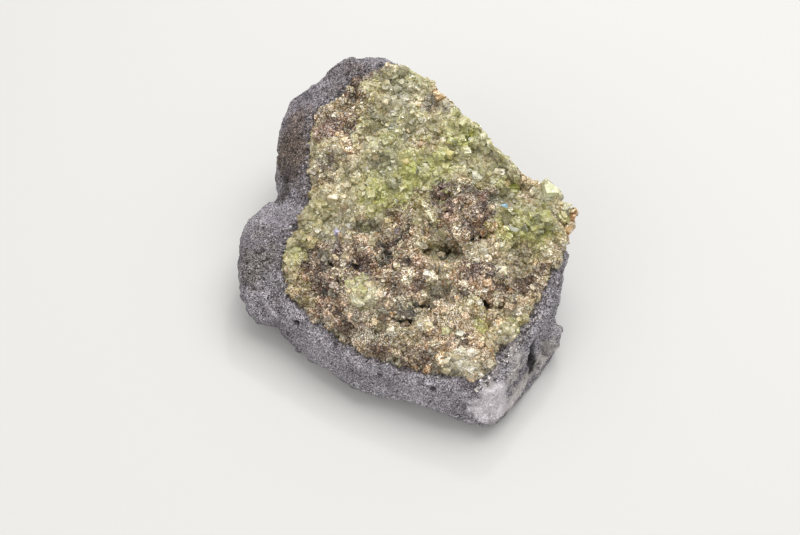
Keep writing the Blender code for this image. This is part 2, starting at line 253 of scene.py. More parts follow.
basalt = {
    "voxel": 0.41,          # mm between mesh points
    "chip": 3.2, "chipLean": 2.4, "chipDepth": 0.3,
    "flake": 1.1, "flakeLean": 2.6, "flakeDepth": 0.16,
    "lump": 6.0, "lumpHeight": 0.25,
    "pitSpacing": 2.6, "pitShare": 0.2, "pitRadius": (0.2, 0.5),
    # burst bubbles seen in the photograph: pixel u, v, radius mm, depth mm
    "pits": [
        (296, 323, 0.6, 1.8), (433, 390, 0.75, 0.9), (380, 376, 0.6, 0.7), (285, 245, 0.5, 0.6),
        (262, 250, 0.45, 0.5), (466, 405, 0.5, 0.5), (352, 371, 0.4, 0.45), (410, 392, 0.45, 0.5),
        (318, 343, 0.45, 0.5), (254, 288, 0.5, 0.6), (247, 262, 0.45, 0.5), (286, 181, 0.9, 0.9),
        (532, 348, 0.8, 1.6), (531, 354, 1.1, 2.2), (530, 360, 1.4, 2.4), (532, 366, 1.2, 2.0),
        (520, 372, 0.5, 0.5), (512, 380, 0.6, 0.6), (524, 379, 0.5, 0.5),
    ],
    # swells and hollows: pixel u, v, reach mm, height mm, power
    "forms": [(558, 333, 2.4, 1.4, 4), (552, 345, 2.6, 0.9, 4), (553, 316, 1.5, -1.3, 2),
              (281, 150, 3.4, 0.6, 2), (280, 176, 3.0, 0.6, 2), (330, 75, 3.0, 0.5, 2),
              (352, 60, 3.0, 0.5, 2),
              (450, 411, 6.0, 0.6, 2), (478, 418, 5.0, 0.6, 2), (366, 59, 2.6, -0.9, 2),
              (352, 60, 2.8, -1.0, 2), (338, 68, 3.0, -1.0, 2), (324, 80, 3.0, -0.8, 2),
              (247, 300, 3.0, 0.6, 4), (262, 310, 1.6, -0.7, 2), (281, 330, 1.6, -0.5, 2)],
    "ground": ("#645F64", "#8D898E"), "blotch": 11.0, "streaks": (4.0, 1.3), "pitShade": 0.9,
    "specks": 5600.0,       # per metre: crystals about 0.18 mm across
    "foot": 0.3, "footFade": 1.2,   # mm above the table, where the relief begins
    # where weathered it is rougher, with coarser specks, and the patch fades over a torn border, mm
    "weatherRough": 0.9, "weatherSpeck": 0.6, "weatherFade": 6, "weatherTorn": 5,
    # darker where it is weathered, and painted shade on the left side, which faces away from the light:
    # colour, pixel, reach mm
    "weatheredAndShaded": [("#51463F", (290, 152), 11.0), ("#332C2B", (285, 184), 7.0), ("#544C4B", (344, 70), 7.5),
                  ("#5A5457", (272, 299), 5.0), ("#4F4B4F", (302, 332), 3.6), ("#5A4E4A", (299, 116), 5.0),
                  ("#5C5756", (254, 262), 9.0)],
    "bruiseSmooth": 0.7,
    # ground smooth or bruised pale where the hammer fell and where the crystals tore away: runs of
    # pixels, reach mm, colour
    "bruisesAndShade": [([((547, 345), (540, 360), (520, 384), (508, 402)), ((520, 358), (512, 378))],
                 2.6, "#AFAAA6"),
                ([((494, 418), (483, 401), (488, 384)), ((504, 410), (498, 392))], 3.0, "#C2BCC0"),
                ([((488, 384), (500, 366), (512, 350), (524, 333), (536, 316))], 0.9, "#8A8482"),
                ([((505, 410), (520, 396))], 0.8, "#B0AAA9"),
                ([((264, 303), (269, 309)), ((272, 313), (277, 318))], 0.5, "#B5AFB2"),
                # and painted shade in the largest burst bubbles, over their dark glassy lining
                ([((533, 344), (531, 354), (529, 362), (532, 370))], 1.0, "#2A2628"),
                ([((530, 358), (532, 366))], 1.4, "#2A2628"),
                ([((295, 322), (297, 324))], 0.35, "#151315")],
}


def blendHex(codes, share):
    below, above = (np.array(hexToLinear(code)) for code in codes)
    return below * (1 - share) + above * share


def paintPoints(obj, name, colors):
    # a colour and one more value for each point
    tint = obj.data.attributes.new(name, "FLOAT_COLOR", "POINT")
    tint.data.foreach_set("color", np.asarray(colors, np.float32).ravel())


def flats(place, size, lean):
    # each cell of the rock broke along its own plane
    at = place / size
    cell = noise.voronoi(at)[1][0]
    return max(-1.0, min(1.0, (at - cell).dot(noise.noise_vector(cell) * lean)))


def pitDepth(place, near):
    # the bubbles listed, then small ones in some cells of the rock
    depth = 0.0
    for centre, radius, deep in near:
        away = (place - centre).length / radius
        if away < 1:
            depth = max(depth, deep * math.sqrt(1 - away * away))
    cell = noise.voronoi(place / basalt["pitSpacing"])[1][0]
    luck = abs(noise.cell(cell * 7.3))
    if luck < basalt["pitShare"]:
        least, most = basalt["pitRadius"]
        radius = least + (most - least) * (luck / basalt["pitShare"]) ** 2
        away = (place - cell * basalt["pitSpacing"]).length / radius
        if away < 1:
            depth = max(depth, radius * math.sqrt(1 - away * away))
    return depth


def buildBasalt(material):
    obj = newPiece("basaltRock", mergedCopy("basalt_matrix"), material, "basalt_matrix")
    remeshPiece(obj, basalt["voxel"])
    tree = BVHTree.FromObject(obj, bpy.context.evaluated_depsgraph_get())
    pits = placedForms(tree, basalt["pits"])
    forms = placedForms(tree, basalt["forms"])
    bruisesAndShade = [(placedRuns(tree, runs), reach, np.array(hexToLinear(code)))
               for runs, reach, code in basalt["bruisesAndShade"]]
    weatheredAndShaded = [(np.array(hexToLinear(code)), photoPoint(camera, tree, *at), reach)
                 for code, at, reach in basalt["weatheredAndShaded"]]
    colors = []

    def relief(place, normal):
        # it rests on a flat
        calm = max(0.0, min(1.0, (place.z - basalt["foot"]) / basalt["footFade"]))
        lumps = noise.noise(place / basalt["lump"]) * basalt["lumpHeight"]
        chips = flats(place, basalt["chip"], basalt["chipLean"]) * basalt["chipDepth"]
        flakes = flats(place, basalt["flake"], basalt["flakeLean"]) * basalt["flakeDepth"]
        pit = pitDepth(place, pits)

        # lighter and darker in blotches and streaks, and on the raised chips
        wide, narrow = basalt["streaks"]
        torn = noise.noise(place / wide) + 0.6 * noise.noise(place / narrow)
        blotch = noise.noise(place / basalt["blotch"])
        share = 0.5 + 0.9 * blotch + 0.35 * torn + (chips + flakes) * 0.6
        color = blendHex(basalt["ground"], min(1.2, max(-0.2, share)))
        rough, coarse = 1.0, 1.0
        # weathered patches, darkened too as painted shade on the side away from the light
        for dark, at, reach in weatheredAndShaded:
            inner = reach - (place - at).length + basalt["weatherTorn"] * torn
            mask = min(1.0, max(0.0, inner / basalt["weatherFade"]))
            rough = max(rough, 1 + basalt["weatherRough"] * mask)
            coarse = max(coarse, 1 + basalt["weatherSpeck"] * mask)
            color = color * (1 - mask) + dark * (1 + 0.3 * torn) * mask
        # pale bruises, and painted shade in the largest burst bubbles
        for stretches, reach, pale in bruisesAndShade:
            mask = min(0.9, max(0.0, 1.1 * (1.3 + torn - runAway(place, stretches) / reach)))
            color = color * (1 - mask) + pale * (0.9 + 0.3 * torn) * mask
            coarse *= 1 - basalt["bruiseSmooth"] * mask
        colors.append((*color * max(0.1, 1 - basalt["pitShade"] * pit), coarse))
        return normal * ((chips + flakes) * rough + lumps + formHeight(place, forms) - pit) * calm

    movePoints(obj, relief)
    trimToOutline(obj)
    obj.data.shade_flat()
    colors = np.array(colors)
    colors[:, :3] = np.clip(colors[:, :3], 0, 1)
    paintPoints(obj, "rockColor", colors)
    print("basalt:", len(obj.data.polygons), "faces")
    return obj


def basaltMaterial():
    # broken basalt: no gloss, pale feldspar and dark pyroxene too fine to tell apart in a purple-grey
    # ground
    material, tree, shader = newMaterial("basalt_broken")
    place = addNode(tree, "ShaderNodeTexCoord").outputs["Object"]
    ground = addNode(tree, "ShaderNodeAttribute", attribute_name="rockColor")
    # dark crystals lose most of the light, one in four is pale; the hammer's bruise has ground them to
    # one tone
    cells = addNode(tree, "ShaderNodeTexVoronoi", {"Scale": basalt["specks"]},
                    {"Vector": place}).outputs["Color"]
    fine = addNode(tree, "ShaderNodeSeparateColor", links={"Color": cells})
    speck = addNode(tree, "ShaderNodeMapRange", {"To Min": -1.0, "To Max": 0.65},
                    {"Value": fine.outputs["Red"]})
    pale = addNode(tree, "ShaderNodeMapRange", {"From Min": 0.75, "From Max": 1.0, "To Max": 1.8},
                   {"Value": fine.outputs["Green"]})
    specks = addNode(tree, "ShaderNodeMath", operation="ADD",
                     links={0: speck.outputs["Result"], 1: pale.outputs["Result"]})
    shade = addNode(tree, "ShaderNodeMath", {2: 1.0}, operation="MULTIPLY_ADD",
                    links={0: specks.outputs["Value"], 1: ground.outputs["Alpha"]})
    # even pyroxene gives back a little light
    lit = addNode(tree, "ShaderNodeMath", {1: 0.04}, {0: shade.outputs["Value"]}, operation="MAXIMUM")
    color = addNode(tree, "ShaderNodeVectorMath", operation="MULTIPLY",
                    links={0: ground.outputs["Color"], 1: lit.outputs["Value"]})
    tree.links.new(color.outputs["Vector"], shader.inputs["Base Color"])
    shader.inputs["Roughness"].default_value = 0.88
    shader.inputs["IOR"].default_value = 1.5
    bump = addNode(tree, "ShaderNodeBump", {"Strength": 0.8, "Distance": 0.0004},
                   {"Height": fine.outputs["Blue"]})
    tree.links.new(bump.outputs["Normal"], shader.inputs["Normal"])
    return material


rock = buildBasalt(basaltMaterial())


# colours of each sort of grain

hues = {
    "straw": ["#BFB594", "#CDC3A2", "#ADA27F", "#DCD3B4"],
    "olive": ["#9A9166", "#A69C70", "#B3A97B", "#8C855A"],
    "lime": ["#BAB974", "#C2C17C", "#B1B168", "#A9AA60"],
    "deepLime": ["#8F9148", "#80853F", "#9C9E55"],
    "paleLime": ["#BDBC88", "#C6C595", "#B0AF78", "#B7B680"],
    "tan": ["#C2A482", "#D2B695", "#A88865", "#E0CBAA"],
    "rust": ["#85664C", "#997860", "#6E5240"],
    "brown": ["#5C4736", "#4C392C", "#6F5745"],
    "dark": ["#2C2421", "#241D1B", "#3A302B"],
    "grey": ["#8E8C76", "#9E9B87", "#7A7863"],
    "maroon": ["#513631", "#432C28", "#62443D"],
    "mauve": ["#6C5B55", "#5A4A46", "#7F6D65"],
    "white": ["#DBD3BE", "#E5DFCE", "#D0C8B1"],
    "deepGreen": ["#45442C", "#565438", "#343422"],
    "glassy": ["#E0DDC0", "#D8D6B4"],
    # colours of painted glints
    "sky": ["#86B8D8"],
    "lilac": ["#BDB8DA"],
}

# what the crust is made of: the mixture everywhere, and patches by pixel of the photograph: u, v,
# reach in mm, strength, sorts
everywhere = {"straw": 1.0, "olive": 0.5, "tan": 0.35, "grey": 0.2, "white": 0.12, "dark": 0.05}
zones = [
    (350, 292, 14, 3, {"tan": 0.9, "brown": 0.7, "mauve": 0.3, "straw": 0.7, "white": 0.2}),
    (450, 315, 15, 1.6, {"tan": 1.0, "straw": 0.8, "brown": 0.4, "white": 0.2}),
    (400, 150, 15, 1.2, {"straw": 1.0, "paleLime": 0.7, "olive": 0.4}),
    (387, 193, 4.8, 14, {"lime": 1.0, "paleLime": 0.4}), (416, 175, 4, 9, {"lime": 0.8, "paleLime": 0.5}),
    (440, 158, 3.4, 9, {"lime": 1.0, "paleLime": 0.4}), (470, 139, 2.6, 7, {"lime": 1.0, "paleLime": 0.4}),
    (452, 142, 2.4, 5, {"lime": 0.7, "paleLime": 0.8}), (393, 142, 2.2, 5, {"lime": 0.6, "paleLime": 1.0}),
    (532, 228, 3.8, 14, {"lime": 1.0, "paleLime": 0.3}), (500, 228, 3, 5, {"lime": 0.8, "paleLime": 0.5}),
    (512, 188, 2.2, 7, {"lime": 1.0}), (495, 175, 4, 3, {"paleLime": 0.8, "straw": 0.6}),
    (363, 290, 3, 7, {"paleLime": 1.0, "straw": 0.3}), (294, 255, 3.6, 5, {"paleLime": 0.9, "olive": 0.6}),
    (300, 290, 3.2, 4, {"olive": 1.0, "lime": 0.3}), (320, 215, 4.2, 4, {"paleLime": 0.8, "straw": 0.7}),
    (508, 326, 3.4, 5, {"paleLime": 0.9, "olive": 0.5}), (545, 215, 3, 3, {"straw": 1.0, "paleLime": 0.4}),
    # the edge away from the camera, thin enough to let light through, made paler as painted light
    (410, 76, 3, 5, {"paleLime": 0.5, "straw": 0.8, "white": 0.2}),
    (440, 101, 2.6, 5, {"tan": 0.5, "straw": 0.8, "white": 0.2}),
    (462, 121, 2.8, 6, {"paleLime": 0.8, "straw": 0.6}), (484, 142, 3, 6, {"paleLime": 0.9, "straw": 0.5}),
    (503, 163, 3, 6, {"straw": 0.9, "paleLime": 0.5}), (524, 184, 3, 6, {"straw": 0.9, "tan": 0.5}),
    (548, 196, 3.2, 6, {"paleLime": 0.7, "straw": 0.8, "white": 0.2}),
    (570, 212, 2.6, 6, {"tan": 0.8, "straw": 0.7}), (354, 73, 3, 16, {"brown": 1.0, "dark": 0.3}),
    (382, 72, 2, 8, {"olive": 0.7, "grey": 0.6}), (398, 88, 2.2, 9, {"grey": 1.0, "deepGreen": 0.3}),
    (362, 106, 2.2, 8, {"olive": 0.7, "brown": 0.5}),
    (326, 126, 2.2, 20, {"brown": 0.8, "rust": 0.4, "mauve": 0.3}),
    (346, 160, 2, 7, {"grey": 0.6, "brown": 0.4}), (391, 178, 2, 8, {"grey": 0.6, "olive": 0.7}),
    (416, 196, 2, 9, {"olive": 0.7, "brown": 0.4}), (451, 214, 2.2, 30, {"maroon": 0.9, "mauve": 0.4}),
    (322, 214, 3.4, 6, {"olive": 0.7, "grey": 0.6}), (362, 250, 2.2, 10, {"brown": 0.7, "tan": 0.4}),
    (396, 342, 3.4, 7, {"brown": 0.7, "grey": 0.5, "olive": 0.3}),
    (416, 268, 2.4, 9, {"brown": 0.6, "tan": 0.6}), (542, 279, 2.4, 8, {"brown": 0.6, "tan": 0.5}),
    (525, 251, 2.2, 16, {"olive": 0.7, "brown": 0.7}), (391, 110, 2.6, 9, {"grey": 0.7, "olive": 0.6}),
    (399, 142, 2, 10, {"olive": 0.8, "grey": 0.4}),
    (431, 143, 2.4, 14, {"olive": 0.8, "rust": 0.3, "brown": 0.3}),
    (394, 180, 2.4, 14, {"olive": 0.9, "grey": 0.6, "brown": 0.2}),
    (398, 214, 2.4, 12, {"brown": 0.7, "olive": 0.5}), (416, 205, 2.4, 8, {"brown": 0.5, "olive": 0.7}),
    (479, 178, 3, 10, {"olive": 0.8, "grey": 0.4}),
    # these two: painted shade between the lump and the edge, in grey-green
    (508, 199, 2.6, 16, {"olive": 0.7, "deepLime": 0.6, "grey": 0.3}),
    (516, 214, 3.2, 16, {"olive": 0.9, "grey": 0.5, "deepGreen": 0.3}),
    (568, 213, 2.6, 9, {"olive": 0.6, "tan": 0.6}), (300, 212, 3.4, 9, {"olive": 0.9, "brown": 0.3}),
    (299, 286, 2.6, 12, {"brown": 0.6, "olive": 0.7}), (416, 287, 1.8, 14, {"brown": 0.9, "dark": 0.3}),
    (470, 345, 2.2, 10, {"brown": 0.7, "tan": 0.5}), (380, 232, 2, 12, {"straw": 0.8, "tan": 0.6}),
    (434, 231, 2, 10, {"tan": 0.8, "straw": 0.5}),
    (455, 197, 1.6, 9, {"tan": 0.6, "brown": 0.6, "mauve": 0.3}),
    (434, 284, 2, 10, {"tan": 0.8, "white": 0.3, "straw": 0.5}),
    (488, 284, 2, 10, {"tan": 1.0, "straw": 0.4}), (487, 305, 2.4, 16, {"tan": 0.9, "straw": 0.7}),
    (513, 268, 2.4, 12, {"straw": 0.8, "tan": 0.7}), (363, 303, 2, 12, {"straw": 0.9, "paleLime": 0.4}),
    (398, 325, 1.9, 14, {"straw": 0.8, "tan": 0.6, "white": 0.2}),
    (344, 286, 1.5, 9, {"straw": 0.8, "tan": 0.3}),
    (364, 292, 3.2, 14, {"paleLime": 0.5, "straw": 1.0, "white": 0.4}),
    (425, 88, 2.4, 14, {"straw": 0.9, "paleLime": 0.5, "white": 0.2}),
    (434, 104, 1.8, 10, {"straw": 0.8, "white": 0.3}), (380, 142, 1.8, 12, {"straw": 0.8, "paleLime": 0.5}),
    (398, 161, 2, 12, {"straw": 0.8, "paleLime": 0.6}), (434, 178, 1.9, 12, {"straw": 0.8, "paleLime": 0.6}),
    (472, 160, 2.6, 9, {"straw": 0.9, "paleLime": 0.5}),
    (484, 196, 2.4, 14, {"maroon": 0.5, "mauve": 0.5, "brown": 0.4}),
    (488, 213, 2.2, 14, {"maroon": 0.5, "brown": 0.6}), (362, 196, 2, 12, {"straw": 0.8, "lime": 0.5}),
    (370, 212, 2.6, 12, {"straw": 0.9, "lime": 0.3, "white": 0.2}),
    (330, 232, 2.4, 10, {"straw": 0.9, "white": 0.3}), (398, 232, 1.8, 9, {"tan": 0.8, "straw": 0.5}),
    (488, 250, 2.4, 14, {"straw": 0.9, "white": 0.3, "tan": 0.4}),
    (488, 268, 1.9, 10, {"brown": 0.7, "tan": 0.5}), (408, 251, 2, 12, {"tan": 0.8, "straw": 0.6}),
    (326, 302, 1.8, 10, {"straw": 0.6, "tan": 0.7}),
    (328, 322, 2, 14, {"straw": 0.8, "tan": 0.5, "white": 0.2}),
    (416, 304, 1.9, 14, {"straw": 0.8, "tan": 0.6}),
    (488, 304, 2.2, 14, {"straw": 0.8, "tan": 0.8, "white": 0.2}),
    (524, 304, 1.9, 12, {"straw": 0.8, "tan": 0.6}), (398, 341, 2.4, 10, {"straw": 0.6, "tan": 0.7}),
    (416, 358, 2.2, 14, {"tan": 0.8, "straw": 0.7}), (434, 360, 2, 12, {"tan": 0.8, "straw": 0.7}),
    (506, 340, 2.4, 14, {"straw": 0.8, "white": 0.4, "tan": 0.4}),
    (542, 232, 1.9, 9, {"lime": 0.5, "straw": 0.8}), (560, 250, 2, 9, {"straw": 0.8, "tan": 0.5}),
    (504, 163, 2.2, 10, {"straw": 0.8, "white": 0.3, "paleLime": 0.4}),
    (378, 177, 2, 8, {"straw": 0.6, "lime": 0.6}), (434, 197, 1.4, 12, {"brown": 0.6, "maroon": 0.5}),
    (416, 250, 1.6, 10, {"straw": 0.7, "tan": 0.6}), (398, 251, 1.9, 12, {"brown": 0.7, "tan": 0.4}),
    (344, 250, 2, 12, {"straw": 0.8, "tan": 0.5}),
    (452, 250, 2, 9, {"olive": 0.7, "brown": 0.6, "straw": 0.3}),
    (506, 270, 2, 10, {"straw": 0.8, "white": 0.3}), (488, 286, 2, 12, {"straw": 0.7, "tan": 0.7}),
    (488, 305, 2.4, 18, {"straw": 1.0, "tan": 0.5, "white": 0.4}),
    (452, 304, 1.9, 10, {"straw": 0.7, "tan": 0.6}), (380, 268, 1.8, 10, {"brown": 0.6, "maroon": 0.3}),
    (362, 270, 2.4, 20, {"brown": 0.8, "maroon": 0.5}), (344, 304, 1.8, 10, {"tan": 0.7, "straw": 0.4}),
    (352, 323, 2.6, 12, {"brown": 0.7, "maroon": 0.3}), (416, 322, 2, 12, {"straw": 0.8, "tan": 0.5}),
    (446, 322, 2, 9, {"straw": 0.7, "tan": 0.6}), (372, 104, 2.6, 8, {"straw": 0.7, "olive": 0.6}),
    (340, 196, 4, 5, {"straw": 0.8, "olive": 0.4, "grey": 0.3}),
    (300, 200, 3.6, 8, {"olive": 0.8, "brown": 0.4}),
    (330, 112, 4, 9, {"straw": 0.6, "rust": 0.4, "mauve": 0.4, "tan": 0.4}),
    (361, 107, 2.4, 22, {"olive": 0.5, "brown": 0.8, "tan": 0.3}),
    (372, 125, 2.6, 12, {"olive": 0.8, "grey": 0.6, "brown": 0.3}),
    (398, 214, 2.2, 14, {"brown": 0.8, "maroon": 0.3}),
    (506, 196, 2.4, 24, {"olive": 0.7, "grey": 0.5, "brown": 0.8, "deepGreen": 0.5}),
    (304, 286, 2.2, 14, {"brown": 0.8, "olive": 0.4}),
    (434, 304, 2, 14, {"brown": 0.8, "dark": 0.3, "tan": 0.3}),
    (362, 322, 2.2, 12, {"brown": 0.8, "maroon": 0.4}),
    (398, 342, 2.8, 12, {"brown": 0.7, "grey": 0.5, "tan": 0.3}),
    (344, 287, 1.6, 10, {"brown": 0.6, "maroon": 0.4}), (382, 286, 2, 9, {"brown": 0.6, "tan": 0.6}),
    (336, 214, 2.8, 9, {"olive": 0.8, "grey": 0.4, "brown": 0.2}),
    (507, 341, 2.4, 16, {"white": 0.7, "straw": 0.8}), (507, 304, 1.9, 10, {"straw": 0.8, "tan": 0.5}),
    (452, 268, 2, 10, {"straw": 0.8, "tan": 0.6}), (434, 268, 1.8, 10, {"straw": 0.8, "tan": 0.5}),
    (358, 75, 2.4, 12, {"mauve": 0.9, "brown": 0.5}), (372, 62, 2.4, 14, {"tan": 0.6, "mauve": 0.7}),
    (318, 106, 1.8, 9, {"mauve": 0.8, "rust": 0.4}), (308, 142, 2.2, 12, {"straw": 0.9, "white": 0.4}),
    (345, 123, 2.6, 9, {"rust": 0.5, "tan": 0.5, "mauve": 0.3}),
    (398, 304, 1.9, 10, {"brown": 0.6, "tan": 0.5}), (380, 340, 2.4, 24, {"brown": 0.9, "maroon": 0.4}),
    (326, 350, 2.8, 14, {"brown": 0.8, "olive": 0.4}), (434, 322, 1.8, 10, {"brown": 0.6, "tan": 0.6}),
    (416, 268, 2, 12, {"brown": 0.7, "maroon": 0.3}), (488, 268, 1.8, 12, {"brown": 0.7, "maroon": 0.3}),
    (470, 214, 3, 6, {"tan": 0.7, "brown": 0.4, "straw": 0.4}),
    (326, 162, 2.6, 9, {"brown": 0.5, "mauve": 0.6, "grey": 0.5}),
    (330, 182, 2.2, 6, {"brown": 0.4, "tan": 0.5, "grey": 0.4}),
    (388, 124, 2.6, 7, {"grey": 1.0, "olive": 0.5}),
    (400, 126, 2.2, 14, {"grey": 0.7, "olive": 0.6, "deepGreen": 0.3}),
    (308, 232, 2.6, 8, {"olive": 0.8, "grey": 0.5, "brown": 0.2}),
    (350, 218, 2, 7, {"grey": 0.5, "olive": 0.6, "tan": 0.2}),
    (401, 216, 2.2, 12, {"tan": 0.6, "brown": 0.5, "maroon": 0.3}),
    (414, 205, 2, 8, {"olive": 0.6, "brown": 0.5}),
    (500, 201, 1.6, 14, {"grey": 0.7, "dark": 0.6, "olive": 0.4}),
    (519, 214, 2.6, 12, {"olive": 0.8, "grey": 0.5, "deepLime": 0.4}),
    (506, 221, 2, 8, {"lime": 0.6, "olive": 0.5}), (534, 230, 2.4, 10, {"deepLime": 0.8, "lime": 0.5}),
    (470, 139, 1.4, 20, {"deepLime": 1.0}), (388, 200, 2.4, 10, {"deepLime": 0.6, "lime": 0.7}),
    (412, 172, 1.8, 8, {"deepLime": 0.7, "lime": 0.5}), (325, 257, 2.6, 30, {"dark": 1.0, "maroon": 0.3}),
    (312, 265, 2.2, 24, {"maroon": 0.8, "brown": 0.4, "dark": 0.3}),
    (338, 252, 1.8, 14, {"maroon": 0.7, "mauve": 0.5}), (417, 288, 2.2, 16, {"maroon": 0.5, "brown": 0.7}),
    (415, 268, 2, 10, {"tan": 0.6, "maroon": 0.5}), (470, 268, 2.2, 18, {"brown": 0.8, "maroon": 0.4}),
    (343, 323, 2.2, 10, {"maroon": 0.4, "brown": 0.8}), (358, 326, 2, 10, {"dark": 0.3, "brown": 0.8}),
    (452, 322, 1.8, 10, {"brown": 0.8, "rust": 0.4}), (524, 338, 1.6, 10, {"grey": 0.8, "brown": 0.6}),
    # the first: painted shade in the cavity under the lump's ledge, in dark green
    (437, 246, 2.6, 10, {"deepGreen": 1.0, "olive": 0.3}), (337, 298, 2.6, 16, {"maroon": 1.0, "brown": 0.2}),
    (325, 305, 2.2, 12, {"brown": 0.8, "maroon": 0.5}), (323, 284, 2, 16, {"maroon": 0.7, "dark": 0.5}),
    (388, 249, 2.2, 14, {"maroon": 1.0, "dark": 0.2}), (308, 280, 2.2, 10, {"rust": 0.8, "brown": 0.6}),
    (386, 316, 1.6, 14, {"dark": 0.7, "grey": 0.5}), (371, 322, 2.6, 8, {"brown": 0.8, "maroon": 0.3}),
    (393, 358, 2.2, 8, {"brown": 0.5, "grey": 0.6, "dark": 0.3}), (421, 356, 2, 8, {"rust": 0.9, "tan": 0.5}),
    (514, 303, 1.6, 9, {"maroon": 0.8, "dark": 0.4}), (525, 285, 2, 10, {"maroon": 0.6, "brown": 0.6}),
    (462, 291, 1.2, 16, {"dark": 1.0}), (458, 342, 1.8, 8, {"brown": 1.0}),
    (431, 358, 1.6, 10, {"rust": 0.8, "dark": 0.4}), (489, 329, 2.6, 7, {"lime": 0.5, "tan": 0.6}),
    (518, 324, 2.4, 7, {"white": 0.6, "paleLime": 0.7}), (484, 205, 1.2, 16, {"dark": 1.0}),
    (478, 228, 2, 10, {"maroon": 0.7, "mauve": 0.6}), (448, 190, 2.2, 8, {"mauve": 0.8, "maroon": 0.5}),
    (482, 196, 2.6, 7, {"brown": 0.8, "mauve": 0.5}), (455, 222, 2.4, 7, {"tan": 0.8, "straw": 0.5}),
    (493, 232, 2.2, 10, {"rust": 0.4, "tan": 0.6, "lime": 0.5}),
    (405, 238, 2.2, 9, {"maroon": 0.6, "brown": 0.6}), (368, 85, 2.8, 6, {"paleLime": 0.7, "straw": 0.6}),
    (376, 102, 2.6, 4, {"olive": 0.6, "tan": 0.6}),
    (330, 112, 4.6, 6, {"rust": 0.5, "tan": 0.6, "mauve": 0.5, "straw": 0.3}),
    (348, 122, 3.6, 4, {"rust": 0.3, "tan": 0.7, "straw": 0.3}),
    (347, 84, 2.8, 14, {"rust": 0.6, "brown": 1.0}), (362, 70, 2.6, 14, {"brown": 0.9, "mauve": 0.6}),
    (316, 130, 2.4, 4, {"rust": 0.9, "brown": 0.5}), (421, 144, 1.7, 9, {"rust": 1.0}),
    (352, 146, 1.7, 5, {"rust": 0.9, "tan": 0.5}), (429, 104, 2.1, 9, {"mauve": 1.0, "grey": 0.4}),
    (438, 90, 2, 5, {"tan": 1.0, "straw": 0.5}), (400, 98, 3.2, 4, {"grey": 1.0, "straw": 0.4}),
    (398, 79, 1.4, 8, {"deepGreen": 1.0}), (384, 167, 2.8, 13, {"grey": 0.9, "deepGreen": 0.5}),
    (330, 165, 4.5, 2, {"tan": 0.6, "straw": 0.8}),
    (465, 212, 6.2, 7, {"tan": 0.8, "straw": 0.4, "brown": 0.55, "mauve": 0.35, "rust": 0.15}),
    (439, 188, 1.2, 26, {"dark": 1.0, "maroon": 0.4}), (470, 225, 3.2, 3, {"mauve": 0.8, "brown": 0.5}),
    (327, 252, 2.4, 22, {"dark": 1.0, "mauve": 0.3}), (358, 268, 1.9, 22, {"dark": 1.0, "brown": 0.3}),
    (406, 313, 2.4, 22, {"dark": 0.9, "grey": 0.4}),
    (439, 295, 3, 14, {"dark": 0.6, "deepGreen": 0.4, "grey": 0.6}),
    (370, 229, 2.2, 16, {"dark": 0.7, "deepGreen": 0.7}),
    (330, 290, 4.5, 4, {"brown": 0.8, "tan": 0.5, "rust": 0.4}),
    (352, 312, 4.5, 3, {"brown": 0.6, "mauve": 0.5, "straw": 0.3}),
    (395, 262, 5.5, 4, {"tan": 0.9, "brown": 0.5, "rust": 0.25}),
    (400, 285, 5, 3, {"tan": 0.9, "straw": 0.4}),
    (485, 275, 4.5, 4, {"brown": 0.6, "mauve": 0.5, "tan": 0.6}),
    (500, 290, 3.4, 4, {"brown": 0.9, "rust": 0.4}), (450, 270, 5, 3, {"tan": 1.0, "straw": 0.5}),
    (450, 325, 6, 3, {"tan": 1.0, "straw": 0.7}), (424, 351, 3, 6, {"tan": 0.9, "rust": 0.6}),
    (395, 345, 4, 3, {"brown": 0.5, "olive": 0.5, "straw": 0.4}),
    (460, 362, 2.8, 12, {"white": 1.0, "straw": 0.4}), (446, 368, 2.6, 6, {"grey": 0.5, "straw": 0.9}),
    (487, 371, 3, 16, {"white": 0.8, "tan": 0.4, "straw": 0.4}), (545, 262, 3, 3, {"tan": 0.7, "olive": 0.5}),
    (530, 250, 3, 3, {"straw": 0.9, "olive": 0.5}),
]


# how the borders of the patches are torn: length and reach, mm
tornBorder = ((2.6, 1.5), (0.9, 0.6))
sortNames = list(hues)
sortColors = np.array([np.mean([hexToLinear(code) for code in hues[name]], axis=0) for name in sortNames])


def tinted(code, rng):
    # no two crystals have quite the same colour
    color = np.array(hexToLinear(code))
    return np.clip(color * rng.uniform(0.88, 1.12)
                   * np.array([rng.uniform(0.97, 1.03) for channel in range(3)]), 0, 1)


def zoneCentres(tree):
    return [(np.array(photoPoint(camera, tree, u, v)), *rest) for u, v, *rest in zones]


def shares(places, centres):
    # how much of each sort there is at each place (mm); the patches have torn borders
    torn = sum(np.array([noise.noise_vector(Vector(p) / length) for p in places]) * far
               for length, far in tornBorder)
    weights = np.tile([everywhere.get(name, 0.0) for name in sortNames], (len(places), 1))
    for centre, reach, strength, sorts in centres:
        away = np.linalg.norm(places + torn * min(1.0, reach / 4) - centre, axis=1)
        pull = strength * np.exp(-(away / reach) ** 3)
        for name, share in sorts.items():
            weights[:, sortNames.index(name)] += share * pull
    return weights / weights.sum(axis=1, keepdims=True)


# crust: olivine crystals grown together and broken through, one continuous surface

